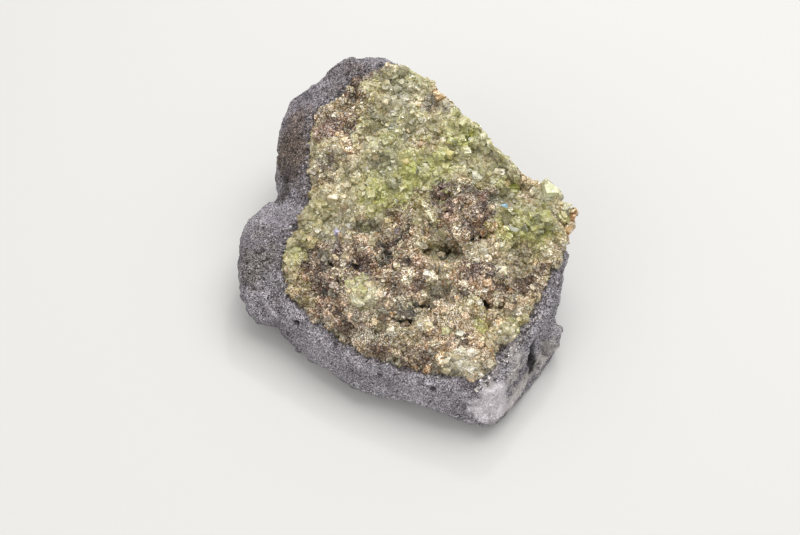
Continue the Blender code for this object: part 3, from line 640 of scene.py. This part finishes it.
crust = {
    "seed": 7, "voxel": 0.345, "smoothing": 6, "sink": 0.3, "lump": 4.5, "lumpHeight": 1.0,
    "grownIn": 0.5, "grownInReach": 1.6, "rimSink": 1.2, "rimReach": 3.0,
    # cell mm, lean, depth mm and step mm: crystals, then the grains they break into
    "crystal": (2.4, 2.2, 0.4, 0.2), "grain": (0.95, 2.0, 0.2, 0.1),
    "iron": ("tan", "rust", "brown", "maroon", "mauve", "dark"),     # the sorts stained by iron
    "own": (0.3, 0.6),      # how much of its own colour a crystal keeps, where clear and where stained
    "bright": 0.975, "between": 0.15,   # how bright it is, and how much less between stained crystals, as painted shade in the gaps
    "hollow": 3.0, "hollowDepth": 0.8,  # mm, the stained hollows
    # darker per mm of depth and lighter per mm of height, as painted shade and painted light, with iron
    # gathered in the hollows and worn off the heights too: where clear, and more where stained
    "dimmed": (0.1, 1.7), "wornAndLit": (0.1, 0.5),
    "margin": "#6B655F", "marginTorn": 0.7,     # rock and crystals mixed, and how finely, mm
    # swells and hollows: pixel u, v, reach mm, height mm, power
    "forms": [(464, 211, 6.4, 1.5, 2), (451, 199, 2.6, 0.5, 4), (469, 205, 2.2, 0.4, 4),
              (486, 216, 2.4, 0.5, 4), (463, 226, 2.6, 0.6, 4), (446, 212, 2.0, 0.4, 4),
              (429, 251, 1.0, -1.0, 2), (438, 252, 1.6, -2.4, 2), (447, 251, 1.5, -2.2, 2),
              (457, 249, 1.4, -1.6, 2), (470, 247, 1.2, -1.0, 2),
              (404, 262, 1.6, -1.1, 2), (386, 254, 1.6, -1.1, 2),
              (327, 252, 2.2, -1.3, 2), (358, 268, 1.6, -0.7, 2), (406, 313, 2.4, -1.2, 2),
              (439, 295, 2.8, -1.0, 2), (370, 229, 2.0, -1.3, 2), (388, 193, 4.2, 0.7, 2),
              (363, 290, 3.0, 0.9, 4), (530, 228, 3.2, 0.8, 4), (502, 226, 1.8, -0.8, 2),
              (440, 272, 3.0, 0.8, 4), (470, 275, 2.4, 0.7, 4), (425, 335, 3.4, 0.7, 4),
              (462, 352, 2.6, 0.7, 4), (395, 285, 3.0, 0.6, 4), (490, 300, 2.4, -0.5, 2),
              (340, 305, 2.4, -0.8, 2), (368, 84, 2.6, 0.6, 2), (429, 104, 2.0, -0.6, 2),
              (400, 98, 2.4, -0.5, 2), (346, 88, 1.8, -0.6, 2), (470, 140, 2.4, 0.5, 2),
              (383, 168, 2.0, -0.8, 2), (412, 228, 2.2, -0.8, 2),
              (402, 72, 3.0, -1.2, 2), (422, 86, 3.0, -1.2, 2), (440, 104, 3.0, -1.2, 2),
              (462, 124, 3.0, -1.3, 2), (482, 142, 3.2, -1.9, 2), (502, 162, 3.0, -1.9, 2),
              (520, 182, 3.0, -1.6, 2), (536, 188, 2.6, -0.8, 2)],
    # cracks: runs of pixels
    "cracks": [((370, 256), (380, 260), (388, 262), (396, 270)), ((425, 249), (432, 250), (440, 252)),
               ((355, 262), (350, 272), (356, 282)), ((470, 240), (484, 238), (494, 232)),
               ((410, 300), (420, 306), (436, 304)), ((386, 316), (398, 322), (414, 322)),
               ((330, 262), (338, 274), (336, 288)), ((478, 296), (488, 306), (500, 308))],
    "crackWidth": 0.5, "crackDepth": 1.7, "crackWander": (1.2, 0.5),     # mm
}


def brokenHeight(place, size, lean, depth, step):
    # leaning flats, each with a step of its own; a factor that isn't whole spreads the steps
    cell = noise.voronoi(place / size)[1][0]
    return flats(place, size, lean) * depth + (noise.cell(cell * 5.1) % 1 - 0.5) * 2 * step


def crackDepth(place, cracks):
    length, far = crust["crackWander"]
    away = runAway(place + noise.noise_vector(place / length) * far, cracks) / crust["crackWidth"]
    return crust["crackDepth"] * max(0.0, 1 - away * away)


def buildCrust(material):
    obj = newPiece("olivineCrust", mergedCopy("peridot_crystals"), material,
                   "peridot_crystals")
    remeshPiece(obj, crust["voxel"])
    graph = bpy.context.evaluated_depsgraph_get()
    rockTree, plainTree = BVHTree.FromObject(rock, graph), BVHTree.FromObject(obj, graph)
    forms = placedForms(plainTree, crust["forms"])
    cracks = placedRuns(plainTree, crust["cracks"])
    heights, rims = [], []

    def relief(place, normal):
        lump = noise.noise(place / crust["lump"]) * crust["lumpHeight"]
        broken = brokenHeight(place, *crust["crystal"]) + brokenHeight(place, *crust["grain"])
        crack = crackDepth(place, cracks)
        stainAndShade = noise.noise(place / crust["hollow"]) * crust["hollowDepth"]
        form = formHeight(place, forms)
        heights.append(broken - crack + stainAndShade + min(0.0, form) * 0.3)
        # beside the rock the crystals grow into it
        found = rockTree.find_nearest(place * mm)[0] / mm
        near = max(0.0, 1 - (found - place).length / crust["grownInReach"])
        sunk = max(0.0, 1 - (found - place).length / crust["rimReach"]) * crust["rimSink"]
        rims.append(near)
        inward = (found - place) + (found - place).normalized() * crust["grownIn"]
        out = form + lump + broken - crack - crust["sink"]
        return normal * out * (1 - 0.5 * near) + inward * near - Vector((0, 0, sunk))

    movePoints(obj, relief, smoothing=crust["smoothing"])
    trimToOutline(obj)
    obj.data.shade_smooth()
    centres = zoneCentres(BVHTree.FromObject(obj, bpy.context.evaluated_depsgraph_get()))

    # colours: the blend of the zone, and some of the crystal's own
    places = np.array([v.co for v in obj.data.vertices]) / mm
    weights = shares(places, centres)
    size = crust["crystal"][0]
    cells = [tuple(round(c * size, 3) for c in noise.voronoi(Vector(p) / size)[1][0]) for p in places]
    cellPlaces = sorted(set(cells))
    rng = random.Random(crust["seed"])
    own = {}
    for cell, share in zip(cellPlaces, shares(np.array(cellPlaces), centres)):
        own[cell] = tinted(rng.choice(hues[rng.choices(sortNames, share)[0]]), rng)
    iron = weights @ np.array([name in crust["iron"] for name in sortNames])
    clearOwn, stainedOwn = crust["own"]
    kept = (clearOwn + (stainedOwn - clearOwn) * iron)[:, None]
    colors = weights @ sortColors * (1 - kept) + np.array([own[cell] for cell in cells]) * kept
    # painted shade in the hollows and cracks and painted light on the heights, more so where the iron is,
    # which also gathers in the hollows and is worn off the heights
    height, near = np.array(heights), np.array(rims)
    (clearDim, stainedDim), (clearWornAndLit, stainedWornAndLit) = crust["dimmed"], crust["wornAndLit"]
    slope = np.where(height < 0, clearDim + stainedDim * iron, clearWornAndLit + stainedWornAndLit * iron)
    colors *= np.clip(1 + slope * height, 0.2, 1.3)[:, None]
    # a margin where rock and crystals are mixed
    torn = np.array([noise.noise(Vector(p) / crust["marginTorn"]) for p in places])
    rim = np.clip(near * 1.5 + torn * 0.9 * (near > 0), 0, 0.85)[:, None]
    colors = colors * (1 - rim) + np.array(hexToLinear(crust["margin"])) * rim
    iron = np.clip(iron * 1.3, 0, 1)[:, None]
    # darker where stained: painted shade in the gaps between the crystals
    paintPoints(obj, "grainColor", np.hstack([colors * (crust["bright"] - crust["between"] * iron), iron]))
    print("crust:", len(obj.data.polygons), "faces")
    return obj, places, np.hstack([colors, iron]), centres


olivineIor = 1.67
faceScale, splinterScale = 1350.0, 5200.0       # per metre: about 0.75 mm and 0.2 mm across
# how each sort of broken crystal looks: roughness, light let through, light scattered inside,
# splinters where clear and where stained, how far its faces lean, shine
crystalLooks = {
    "olivine_crystal_mass": (0.2, 0.0, 0.4, (0.4, 1.0), 0.8, 0.3),
    "olivine_broken": (0.12, 0.2, 0.5, (0.2, 0.8), 0.3, 0.4),
    "olivine_iron_stained": (0.2, 0.0, 0.4, (0.2, 0.95), 0.5, 0.35),
    "pyroxene_and_spinel": (0.25, 0.0, 0.0, (0.2, 0.6), 0.4, 0.3),
}


def crystalMaterial(name):
    # broken olivine: flat glassy faces, each leaning its own way and painted lighter or darker as lit and
    # shaded faces, over a cloudy inside that light soaks into;
    # where iron has stained it, it is crushed to splinters painted with glints and shade, and dark seams of
    # painted shade
    roughness, transmission, scatter, splintered, faceLeaning, shine = crystalLooks[name]
    clearSplinters, stainedSplinters = splintered
    material, tree, shader = newMaterial(name)
    place = addNode(tree, "ShaderNodeTexCoord").outputs["Object"]
    tint = addNode(tree, "ShaderNodeAttribute", attribute_name="grainColor")
    crush = addNode(tree, "ShaderNodeMath", {1: stainedSplinters - clearSplinters, 2: clearSplinters},
                    {0: tint.outputs["Alpha"]}, operation="MULTIPLY_ADD").outputs["Value"]
    faces = addNode(tree, "ShaderNodeTexVoronoi", {"Scale": faceScale}, {"Vector": place}).outputs["Color"]
    faceSplit = addNode(tree, "ShaderNodeSeparateColor", links={"Color": faces})
    faceShade = addNode(tree, "ShaderNodeMapRange", {"To Min": 0.82, "To Max": 1.1},
                        {"Value": faceSplit.outputs["Red"]})
    splinters = addNode(tree, "ShaderNodeTexVoronoi", {"Scale": splinterScale},
                        {"Vector": place}).outputs["Color"]
    splinterSplit = addNode(tree, "ShaderNodeSeparateColor", links={"Color": splinters})
    spread = addNode(tree, "ShaderNodeMapRange", {"To Min": -0.92, "To Max": 1.1},
                     {"Value": splinterSplit.outputs["Red"]})
    splinterShade = addNode(tree, "ShaderNodeMath", {2: 1.0}, {0: spread.outputs["Result"], 1: crush},
                            operation="MULTIPLY_ADD")
    # dark seams between the faces: painted shade in the gaps
    edges = addNode(tree, "ShaderNodeTexVoronoi", {"Scale": faceScale}, {"Vector": place},
                    feature="DISTANCE_TO_EDGE")
    gap = addNode(tree, "ShaderNodeMapRange", {"From Max": 0.1, "To Min": -0.85, "To Max": 0.0},
                  {"Value": edges.outputs["Distance"]})
    seam = addNode(tree, "ShaderNodeMath", {2: 1.0}, {0: gap.outputs["Result"], 1: crush},
                   operation="MULTIPLY_ADD")
    bright = addNode(tree, "ShaderNodeMath", operation="MULTIPLY",
                     links={0: faceShade.outputs["Result"], 1: splinterShade.outputs["Value"]})
    shade = addNode(tree, "ShaderNodeMath", operation="MULTIPLY",
                    links={0: bright.outputs["Value"], 1: seam.outputs["Value"]})
    color = addNode(tree, "ShaderNodeVectorMath", operation="MULTIPLY",
                    links={0: tint.outputs["Color"], 1: shade.outputs["Value"]})
    # painted shade and glints take colour: the darkest, in the seams and splinters, is deepened and turned
    # redder, as iron stain gathers there, and the brightest splinters go nearly white as painted glints
    depth = addNode(tree, "ShaderNodeMapRange", links={"Value": shade.outputs["Value"]},
                    inputs={"From Min": 0.3, "From Max": 1.6, "To Min": 1.6, "To Max": 0.5})
    redder = addNode(tree, "ShaderNodeMapRange", links={"Value": shade.outputs["Value"]},
                     inputs={"From Min": 0.3, "From Max": 0.9, "To Min": 0.48, "To Max": 0.502})
    stainAndShade = addNode(tree, "ShaderNodeHueSaturation",
                    links={"Hue": redder.outputs["Result"], "Saturation": depth.outputs["Result"],
                           "Color": color.outputs["Vector"]})
    tree.links.new(stainAndShade.outputs["Color"], shader.inputs["Base Color"])

    faceLean = addNode(tree, "ShaderNodeVectorMath", {1: (0.5, 0.5, 0.5)}, {0: faces}, operation="SUBTRACT")
    faceTurn = addNode(tree, "ShaderNodeVectorMath", {"Scale": faceLeaning}, {0: faceLean.outputs["Vector"]},
                       operation="SCALE")
    splinterLean = addNode(tree, "ShaderNodeVectorMath", {1: (0.5, 0.5, 0.5)}, {0: splinters},
                           operation="SUBTRACT")
    splinterTurn = addNode(tree, "ShaderNodeVectorMath", operation="SCALE",
                           links={0: splinterLean.outputs["Vector"], "Scale": crush})
    normal = addNode(tree, "ShaderNodeNewGeometry").outputs["Normal"]
    turned = addNode(tree, "ShaderNodeVectorMath", links={0: normal, 1: faceTurn.outputs["Vector"]},
                     operation="ADD")
    leaning = addNode(tree, "ShaderNodeVectorMath", operation="ADD",
                      links={0: turned.outputs["Vector"], 1: splinterTurn.outputs["Vector"]})
    facing = addNode(tree, "ShaderNodeVectorMath", links={0: leaning.outputs["Vector"]},
                     operation="NORMALIZE")
    tree.links.new(facing.outputs["Vector"], shader.inputs["Normal"])
    shader.inputs["Roughness"].default_value = roughness
    shader.inputs["IOR"].default_value = olivineIor
    shader.inputs["Specular IOR Level"].default_value = shine
    shader.inputs["Transmission Weight"].default_value = transmission
    shader.inputs["Subsurface Weight"].default_value = scatter
    shader.inputs["Subsurface Radius"].default_value = (1.0, 0.85, 0.45)
    shader.inputs["Subsurface Scale"].default_value = 0.0004
    return material


olivineCrust, crustPlaces, crustColors, centres = buildCrust(crystalMaterial("olivine_crystal_mass"))


# grains: crystals broken loose from their neighbours, each with a few flat faces

grains = {
    "seed": 5,
    # how many, half size mm, how far they stand out mm and how far from the rock they begin, mm
    "coarse": {"count": 6000, "least": 0.4, "most": 0.95, "lift": (-0.4, -0.1), "clearOfRock": 0.3},
    "fine": {"count": 6700, "least": 0.16, "most": 0.34, "lift": (-0.1, 0.08), "clearOfRock": 0.1},
    "large": {"count": 360, "least": 0.9, "most": 1.7, "lift": (-0.8, -0.4), "clearOfRock": 1.8},
    # shapes for each size: how many, cuts, how near the middle a cut may come
    "shapes": {"coarse": (24, 4, 0.78), "fine": (12, 2, 0.78), "large": (12, 15, 0.6)},
    "own": (0.33, 0.5),     # how much of its own colour a grain keeps, and how much more where stained
    "bright": (0.95, 0.18),     # how bright it is, and what stain adds to that
    "uneven": (0.15, 1.7),      # how much that varies, and how much more where stained
    "stainedSink": 0.35,    # how much deeper they sit where stained, in half sizes
    "buried": 0.6, "above": 0.3, "overhang": 4.0,   # mm, where the crust counts as covered
    "pieces": {"tan": "stained", "rust": "stained", "brown": "stained",
               "maroon": "dark", "dark": "dark", "mauve": "dark", "deepGreen": "dark"},
    "placedOwn": 0.75, "placedSink": 0.3, "placedStain": 0.4,
    "roundOver": 1.2,       # half size mm from which a placed crystal has the large shapes
    # crystals that can be told apart in the photograph, by sort: pixel u, v, half size mm
    "placed": {
        "glassy": [(547, 189, 2.6), (559, 196, 1.4), (566, 206, 1.2)],
        "paleLime": [(486, 133, 1.5), (470, 124, 1.3), (489, 143, 1.3), (562, 222, 1.7), (567, 219, 1.8),
                     (447, 330, 1.3), (349, 283, 1.3), (296, 250, 1.4), (357, 281, 1.3), (363, 290, 1.6),
                     (457, 113, 1.2)],
        "deepLime": [(512, 188, 1.6), (470, 139, 1.2), (532, 222, 1.2)],
        "lime": [(452, 143, 1.2), (388, 188, 1.4)],
        "straw": [(569, 210, 1.3), (565, 242, 1.3), (446, 368, 1.9), (444, 235, 1.2), (532, 288, 0.8),
                  (404, 348, 0.9), (345, 256, 1.0), (372, 242, 1.3), (418, 243, 1.0), (427, 290, 1.3),
                  (497, 294, 0.9), (405, 323, 1.3), (428, 325, 1.0), (309, 145, 1.0), (503, 271, 1.1),
                  (485, 243, 1.3), (335, 165, 0.8), (353, 220, 0.8), (500, 172, 1.2), (424, 84, 1.2),
                  (366, 298, 1.4), (457, 357, 1.1)],
        # pale crystals; the last one, at 537, 217, is a painted glint
        "white": [(392, 330, 0.8), (428, 274, 1.1), (384, 281, 0.7), (466, 285, 0.9), (518, 314, 1.0),
                  (478, 260, 0.7), (471, 351, 1.3), (421, 120, 1.0), (394, 112, 0.9), (460, 335, 0.9),
                  (499, 326, 0.8), (365, 169, 0.8), (481, 375, 1.3), (462, 351, 1.1), (537, 217, 0.7)],
        "tan": [(443, 96, 1.4), (572, 217, 1.5), (570, 227, 1.9), (335, 258, 1.1), (488, 282, 0.9),
                (375, 321, 0.9)],
        "rust": [(491, 233, 1.3), (426, 348, 0.6), (421, 144, 0.9)],
        "brown": [(490, 295, 0.8), (396, 221, 0.8), (491, 274, 0.8), (445, 282, 0.8), (382, 317, 0.8),
                  (448, 344, 0.7), (345, 208, 0.7), (548, 267, 0.8), (427, 358, 0.6), (513, 302, 0.8),
                  (523, 290, 0.8), (481, 357, 0.5), (436, 321, 0.5)],
        "dark": [(440, 187, 0.8), (462, 292, 0.6), (370, 230, 0.7), (421, 274, 0.7), (381, 257, 0.7),
                 (408, 312, 0.8), (329, 166, 0.7), (354, 268, 0.8), (325, 253, 1.1), (484, 205, 0.6),
                 (392, 309, 0.9), (342, 282, 0.6), (371, 73, 0.5)],
        # painted glints: shards in the blue and lilac of the flashes that crystal faces split from the light
        "sky": [(504, 206, 0.95)],
        "lilac": [(336, 231, 0.8), (397, 231, 0.6)],
    },
}


def shardTemplate(rng, cuts, reach=0.78):
    # a cube with corners and edges broken off, about two across
    mesh = bmesh.new()
    bmesh.ops.create_cube(mesh, size=1.7)
    for cut in range(cuts):
        way = Vector([rng.gauss(0, 1) for axis in range(3)]).normalized()
        geometry = mesh.verts[:] + mesh.edges[:] + mesh.faces[:]
        found = bmesh.ops.bisect_plane(mesh, geom=geometry, plane_co=way * rng.uniform(reach, 0.98),
                                       plane_no=way, clear_outer=True)
        edges = [e for e in found["geom_cut"] if isinstance(e, bmesh.types.BMEdge)]
        if edges:
            bmesh.ops.edgeloop_fill(mesh, edges=edges)
    bmesh.ops.triangulate(mesh, faces=mesh.faces)
    bmesh.ops.recalc_face_normals(mesh, faces=mesh.faces)
    points = np.array([v.co[:] for v in mesh.verts])
    mesh.verts.index_update()
    corners = np.array([[v.index for v in f.verts] for f in mesh.faces])
    mesh.free()
    return points, corners


def spreadOver(triangles, areas, normals, count, rng):
    # random places on the open crust
    chosen = rng.choices(range(len(triangles)), areas, k=count)
    found = []
    for index in chosen:
        a, b, c = triangles[index]
        s, t = rng.random(), rng.random()
        if s + t > 1:
            s, t = 1 - s, 1 - t
        found.append((a + (b - a) * s + (c - a) * t, normals[index]))
    return found


def outerTriangles(obj, rockTree):
    # the crust's faces that show: outside the rock and not over its seat
    obj.data.calc_loop_triangles()
    points = [v.co.copy() for v in obj.data.vertices]
    triangles, areas, normals = [], [], []
    for face in obj.data.loop_triangles:
        a, b, c = [points[i] for i in face.vertices]
        middle = (a + b + c) / 3
        near, normal, index, away = rockTree.find_nearest(middle)
        if (middle - near).dot(normal) < 0 and away > grains["buried"] * mm:
            continue
        start = middle + face.normal * grains["above"] * mm
        if rockTree.ray_cast(start, face.normal, grains["overhang"] * mm)[0]:
            continue
        triangles.append((a / mm, b / mm, c / mm))
        areas.append(face.area)
        normals.append(face.normal.copy())
    return triangles, areas, normals


def anyTurn(rng):
    return Vector([rng.gauss(0, 1) for axis in range(3)]).to_track_quat("Z", "Y").to_matrix()


def joinShards(name, shards, templates, material, tintName="grainColor"):
    # shards: (template, place mm, turn, size mm, colour and stain)
    points, corners, colors = [], [], []
    offset = 0
    for number, place, turn, size, color in shards:
        shape, faces = templates[number]
        points.append((shape * np.array(size)) @ np.array(turn).T + np.array(place))
        corners.append(faces + offset)
        colors.append(np.tile(color, (len(shape), 1)))
        offset += len(shape)
    points, corners = np.concatenate(points) * mm, np.concatenate(corners)
    mesh = bpy.data.meshes.new(name)
    mesh.vertices.add(len(points))
    mesh.vertices.foreach_set("co", points.astype(np.float32).ravel())
    mesh.loops.add(corners.size)
    mesh.loops.foreach_set("vertex_index", corners.astype(np.int32).ravel())
    mesh.polygons.add(len(corners))
    mesh.polygons.foreach_set("loop_start", np.arange(0, corners.size, 3, dtype=np.int32))
    mesh.update(calc_edges=True)
    mesh.shade_flat()
    print(name + ":", len(shards), "grains,", len(corners), "triangles")
    obj = newPiece(name, mesh, material)
    paintPoints(obj, tintName, np.concatenate(colors))
    trimToOutline(obj)
    return obj


def buildGrains():
    rng = random.Random(grains["seed"])
    graph = bpy.context.evaluated_depsgraph_get()
    rockTree = BVHTree.FromObject(rock, graph)
    triangles, areas, normals = outerTriangles(olivineCrust, rockTree)
    print("open crust:", round(sum(areas) / mm / mm), "mm2")
    finder = kdtree.KDTree(len(crustPlaces))
    for index, place in enumerate(crustPlaces):
        finder.insert(place, index)
    finder.balance()

    templates, numbers = [], {}
    for size, (count, cuts, reach) in grains["shapes"].items():
        numbers[size] = (len(templates), len(templates) + count)
        templates += [shardTemplate(rng, cuts, reach) for shape in range(count)]
    shards = {"clear": [], "stained": [], "dark": []}
    (own, ownStained), (bright, brightStained) = grains["own"], grains["bright"]
    uneven, unevenStained = grains["uneven"]
    for size in numbers:
        settings = grains[size]
        spots = spreadOver(triangles, areas, normals, settings["count"], rng)
        weights = shares(np.array([spot[0] for spot in spots]), centres)
        for (place, normal), share in zip(spots, weights):
            near, rockNormal, *rest = rockTree.find_nearest(place * mm)
            if (place - near / mm).dot(rockNormal) < settings["clearOfRock"]:
                continue
            # most are small
            half = settings["least"] + (settings["most"] - settings["least"]) * rng.random() ** 1.6
            sort = rng.choices(sortNames, share)[0]
            tint = tinted(rng.choice(hues[sort]), rng)
            *under, iron = crustColors[finder.find(place)[1]]
            spread = rng.uniform(-uneven, uneven) * (1 + unevenStained * iron)
            kept = own * (1 + ownStained * iron)
            color = (np.array(under) * (1 - kept) + tint * kept) * (bright + brightStained * iron + spread)
            sink = grains["stainedSink"] * iron * half
            centre = place + normal * (rng.uniform(*settings["lift"]) - sink)
            turn = anyTurn(rng)
            shape = (half, half * rng.uniform(0.7, 1.0), half * rng.uniform(0.55, 0.95))
            shards[grains["pieces"].get(sort, "clear")].append(
                (rng.randrange(*numbers[size]), centre, turn, shape, (*np.clip(color, 0, 1), iron)))
    crustTree = BVHTree.FromObject(olivineCrust, graph)
    for sort, spots in grains["placed"].items():
        for u, v, half in spots:
            place, normal = photoHit(camera, crustTree, u, v)
            *under, iron = crustColors[finder.find(place)[1]]
            kept = grains["placedOwn"]
            color = tinted(rng.choice(hues[sort]), rng) * kept + np.array(under) * (1 - kept)
            chosen = numbers["large" if half > grains["roundOver"] else "coarse"]
            shape = (half, half * rng.uniform(0.7, 0.9), half * rng.uniform(0.6, 0.8))
            shards[grains["pieces"].get(sort, "clear")].append(
                (rng.randrange(*chosen), place - normal * grains["placedSink"] * half, anyTurn(rng), shape,
                 (*color, grains["placedStain"] * iron)))
    for name, sort, look in (("olivineGrains", "clear", "olivine_broken"),
                             ("alteredGrains", "stained", "olivine_iron_stained"),
                             ("darkGrains", "dark", "pyroxene_and_spinel")):
        joinShards(name, shards[sort], templates, crystalMaterial(look))


buildGrains()


# crumbs of rock and crystal along the line where they meet, and on the bruised edge

crumbs = {
    "seed": 11, "count": 3200, "reach": 2.0, "fade": 0.8, "above": 2.0, "half": (0.12, 0.4),
    "shapes": 12, "cuts": 4, "lift": (-0.2, 0.25),      # lift in half sizes
    "rock": ["#7F7A7C", "#6E696C", "#8F898A", "#4A4446", "#5E5658"],
    "edgeCount": 200, "edgeReach": 0.9,
    "edge": ["#A8A2A1", "#8F898A", "#767072", "#3E393B", "#BDB7B4"],
    "edgeRun": ((478, 386), (488, 382), (500, 366), (512, 350), (524, 333), (536, 316)),
}


def buildCrumbs(material):
    rng = random.Random(crumbs["seed"])
    graph = bpy.context.evaluated_depsgraph_get()
    crustTree, rockTree = BVHTree.FromObject(olivineCrust, graph), BVHTree.FromObject(rock, graph)
    edgeRun = placedRuns(rockTree, [crumbs["edgeRun"]])
    rock.data.calc_loop_triangles()
    spots, pulls, edgeSpots = [], [], []
    for face in rock.data.loop_triangles:
        corners = [rock.data.vertices[i].co for i in face.vertices]
        middle = (corners[0] + corners[1] + corners[2]) / 3
        if middle.z < crumbs["above"] * mm:
            continue
        near, normal, index, away = crustTree.find_nearest(middle, crumbs["reach"] * mm)
        if near and (middle - near).dot(normal) > 0:
            spots.append((middle / mm, face.normal.copy()))
            pulls.append(math.exp(-away / mm / crumbs["fade"]))
        if runAway(middle / mm, edgeRun) < crumbs["edgeReach"]:
            edgeSpots.append((middle / mm, face.normal.copy()))
    templates = [shardTemplate(rng, crumbs["cuts"]) for shape in range(crumbs["shapes"])]
    least, most = crumbs["half"]
    shards = []
    for chosen, codes in ((rng.choices(spots, pulls, k=crumbs["count"]), crumbs["rock"]),
                          (rng.choices(edgeSpots, k=crumbs["edgeCount"]), crumbs["edge"])):
        for place, normal in chosen:
            half = least + (most - least) * rng.random() ** 2
            shape = (half, half * rng.uniform(0.6, 1.0), half * rng.uniform(0.5, 0.9))
            number = rng.randrange(crumbs["shapes"])
            centre = place + normal * rng.uniform(*crumbs["lift"]) * half
            shards.append((number, centre, anyTurn(rng), shape, (*tinted(rng.choice(codes), rng), 1)))
    joinShards("rockCrumbs", shards, templates, material, "rockColor")


buildCrumbs(rock.data.materials[0])


# clear crystals: gem-quality olivine, glass-clear, green by what a few mm of it takes out of the light

gems = {
    "seed": 3, "shapes": 10, "cuts": 7,
    # pixel u, v, half size mm, how far it stands out mm
    "clear": [(446, 367, 1.3, -0.2), (436, 366, 1.0, -0.2), (457, 371, 1.0, -0.2), (568, 214, 1.0, -0.2),
              (446, 112, 0.9, -0.2), (388, 68, 0.9, -0.2)],
    "lime": [(536, 221, 1.3, -0.2), (526, 229, 1.1, -0.2), (541, 232, 1.0, -0.1), (547, 224, 0.9, -0.1),
             (513, 231, 1.2, -0.2), (388, 186, 0.9, -0.2), (378, 198, 0.8, -0.2),
             (398, 201, 0.8, -0.2), (470, 139, 1.0, -0.1), (455, 143, 0.8, -0.1), (440, 160, 0.9, -0.2),
             (418, 173, 0.8, -0.2)],
    # what a way through it leaves of white light, and how much it takes, per metre
    "clearTint": ("#F4F2DF", 250.0), "limeTint": ("#DDE38A", 420.0),
}


def gemMaterial(name, tint, density):
    # flat broken faces polished by the break itself
    material, tree, shader = newMaterial(name)
    shader.inputs["Base Color"].default_value = paint("#FFFFFF")
    shader.inputs["Roughness"].default_value = 0.04
    shader.inputs["IOR"].default_value = olivineIor
    shader.inputs["Transmission Weight"].default_value = 1.0
    inside = addNode(tree, "ShaderNodeVolumeAbsorption", {"Color": paint(tint), "Density": density})
    tree.links.new(inside.outputs["Volume"], tree.nodes["Material Output"].inputs["Volume"])
    return material


def buildGems(sort):
    rng = random.Random(gems["seed"])
    tree = BVHTree.FromObject(olivineCrust, bpy.context.evaluated_depsgraph_get())
    templates = [shardTemplate(rng, gems["cuts"]) for shape in range(gems["shapes"])]
    shards = []
    for u, v, half, lift in gems[sort]:
        place, normal = photoHit(camera, tree, u, v)
        shape = (half, half * rng.uniform(0.75, 1.0), half * rng.uniform(0.6, 0.9))
        number = rng.randrange(gems["shapes"])
        shards.append((number, place + normal * lift, anyTurn(rng), shape, (1, 1, 1, 1)))
    joinShards("gems_" + sort, shards, templates, gemMaterial("olivine_gem_" + sort, *gems[sort + "Tint"]))


for sort in ("clear", "lime"):
    buildGems(sort)


# studio: pale table, wide soft light from the upper right

studio = {
    "floor": "#B5B4B2", "world": 0.93, "worldColor": (1, 0.997, 0.985, 1),
    # lights: power W, size m, place m
    "lights": {"key": (2.9, 0.45, (0.12, 0.14, 0.52)), "glint": (0.5, 0.05, (0.10, 0.42, 0.52)),
               "fill": (0.65, 0.4, (-0.3, -0.3, 0.25))},
}


def buildStudio():
    bpy.context.scene.view_settings.view_transform = "Standard"
    mesh = bmesh.new()
    bmesh.ops.create_grid(mesh, x_segments=1, y_segments=1, size=1.5)
    data = bpy.data.meshes.new("table")
    mesh.to_mesh(data)
    mesh.free()
    table = bpy.data.objects.new("table", data)
    bpy.context.scene.collection.objects.link(table)
    table.location.z = -0.05 * mm
    material, tree, shader = newMaterial("table_white_board")
    shader.inputs["Base Color"].default_value = paint(studio["floor"])
    shader.inputs["Roughness"].default_value = 0.7
    data.materials.append(material)

    world = bpy.data.worlds.new("studio")
    world.use_nodes = True
    background = world.node_tree.nodes["Background"]
    background.inputs["Color"].default_value = studio["worldColor"]
    background.inputs["Strength"].default_value = studio["world"]
    bpy.context.scene.world = world
    for name, (power, size, place) in studio["lights"].items():
        light = bpy.data.lights.new(name, "AREA")
        light.energy = power
        light.size = size
        lamp = bpy.data.objects.new(name, light)
        bpy.context.scene.collection.objects.link(lamp)
        lamp.location = place
        lamp.rotation_euler = Vector(place).to_track_quat("Z", "Y").to_euler()


buildStudio()
print("studio ready")
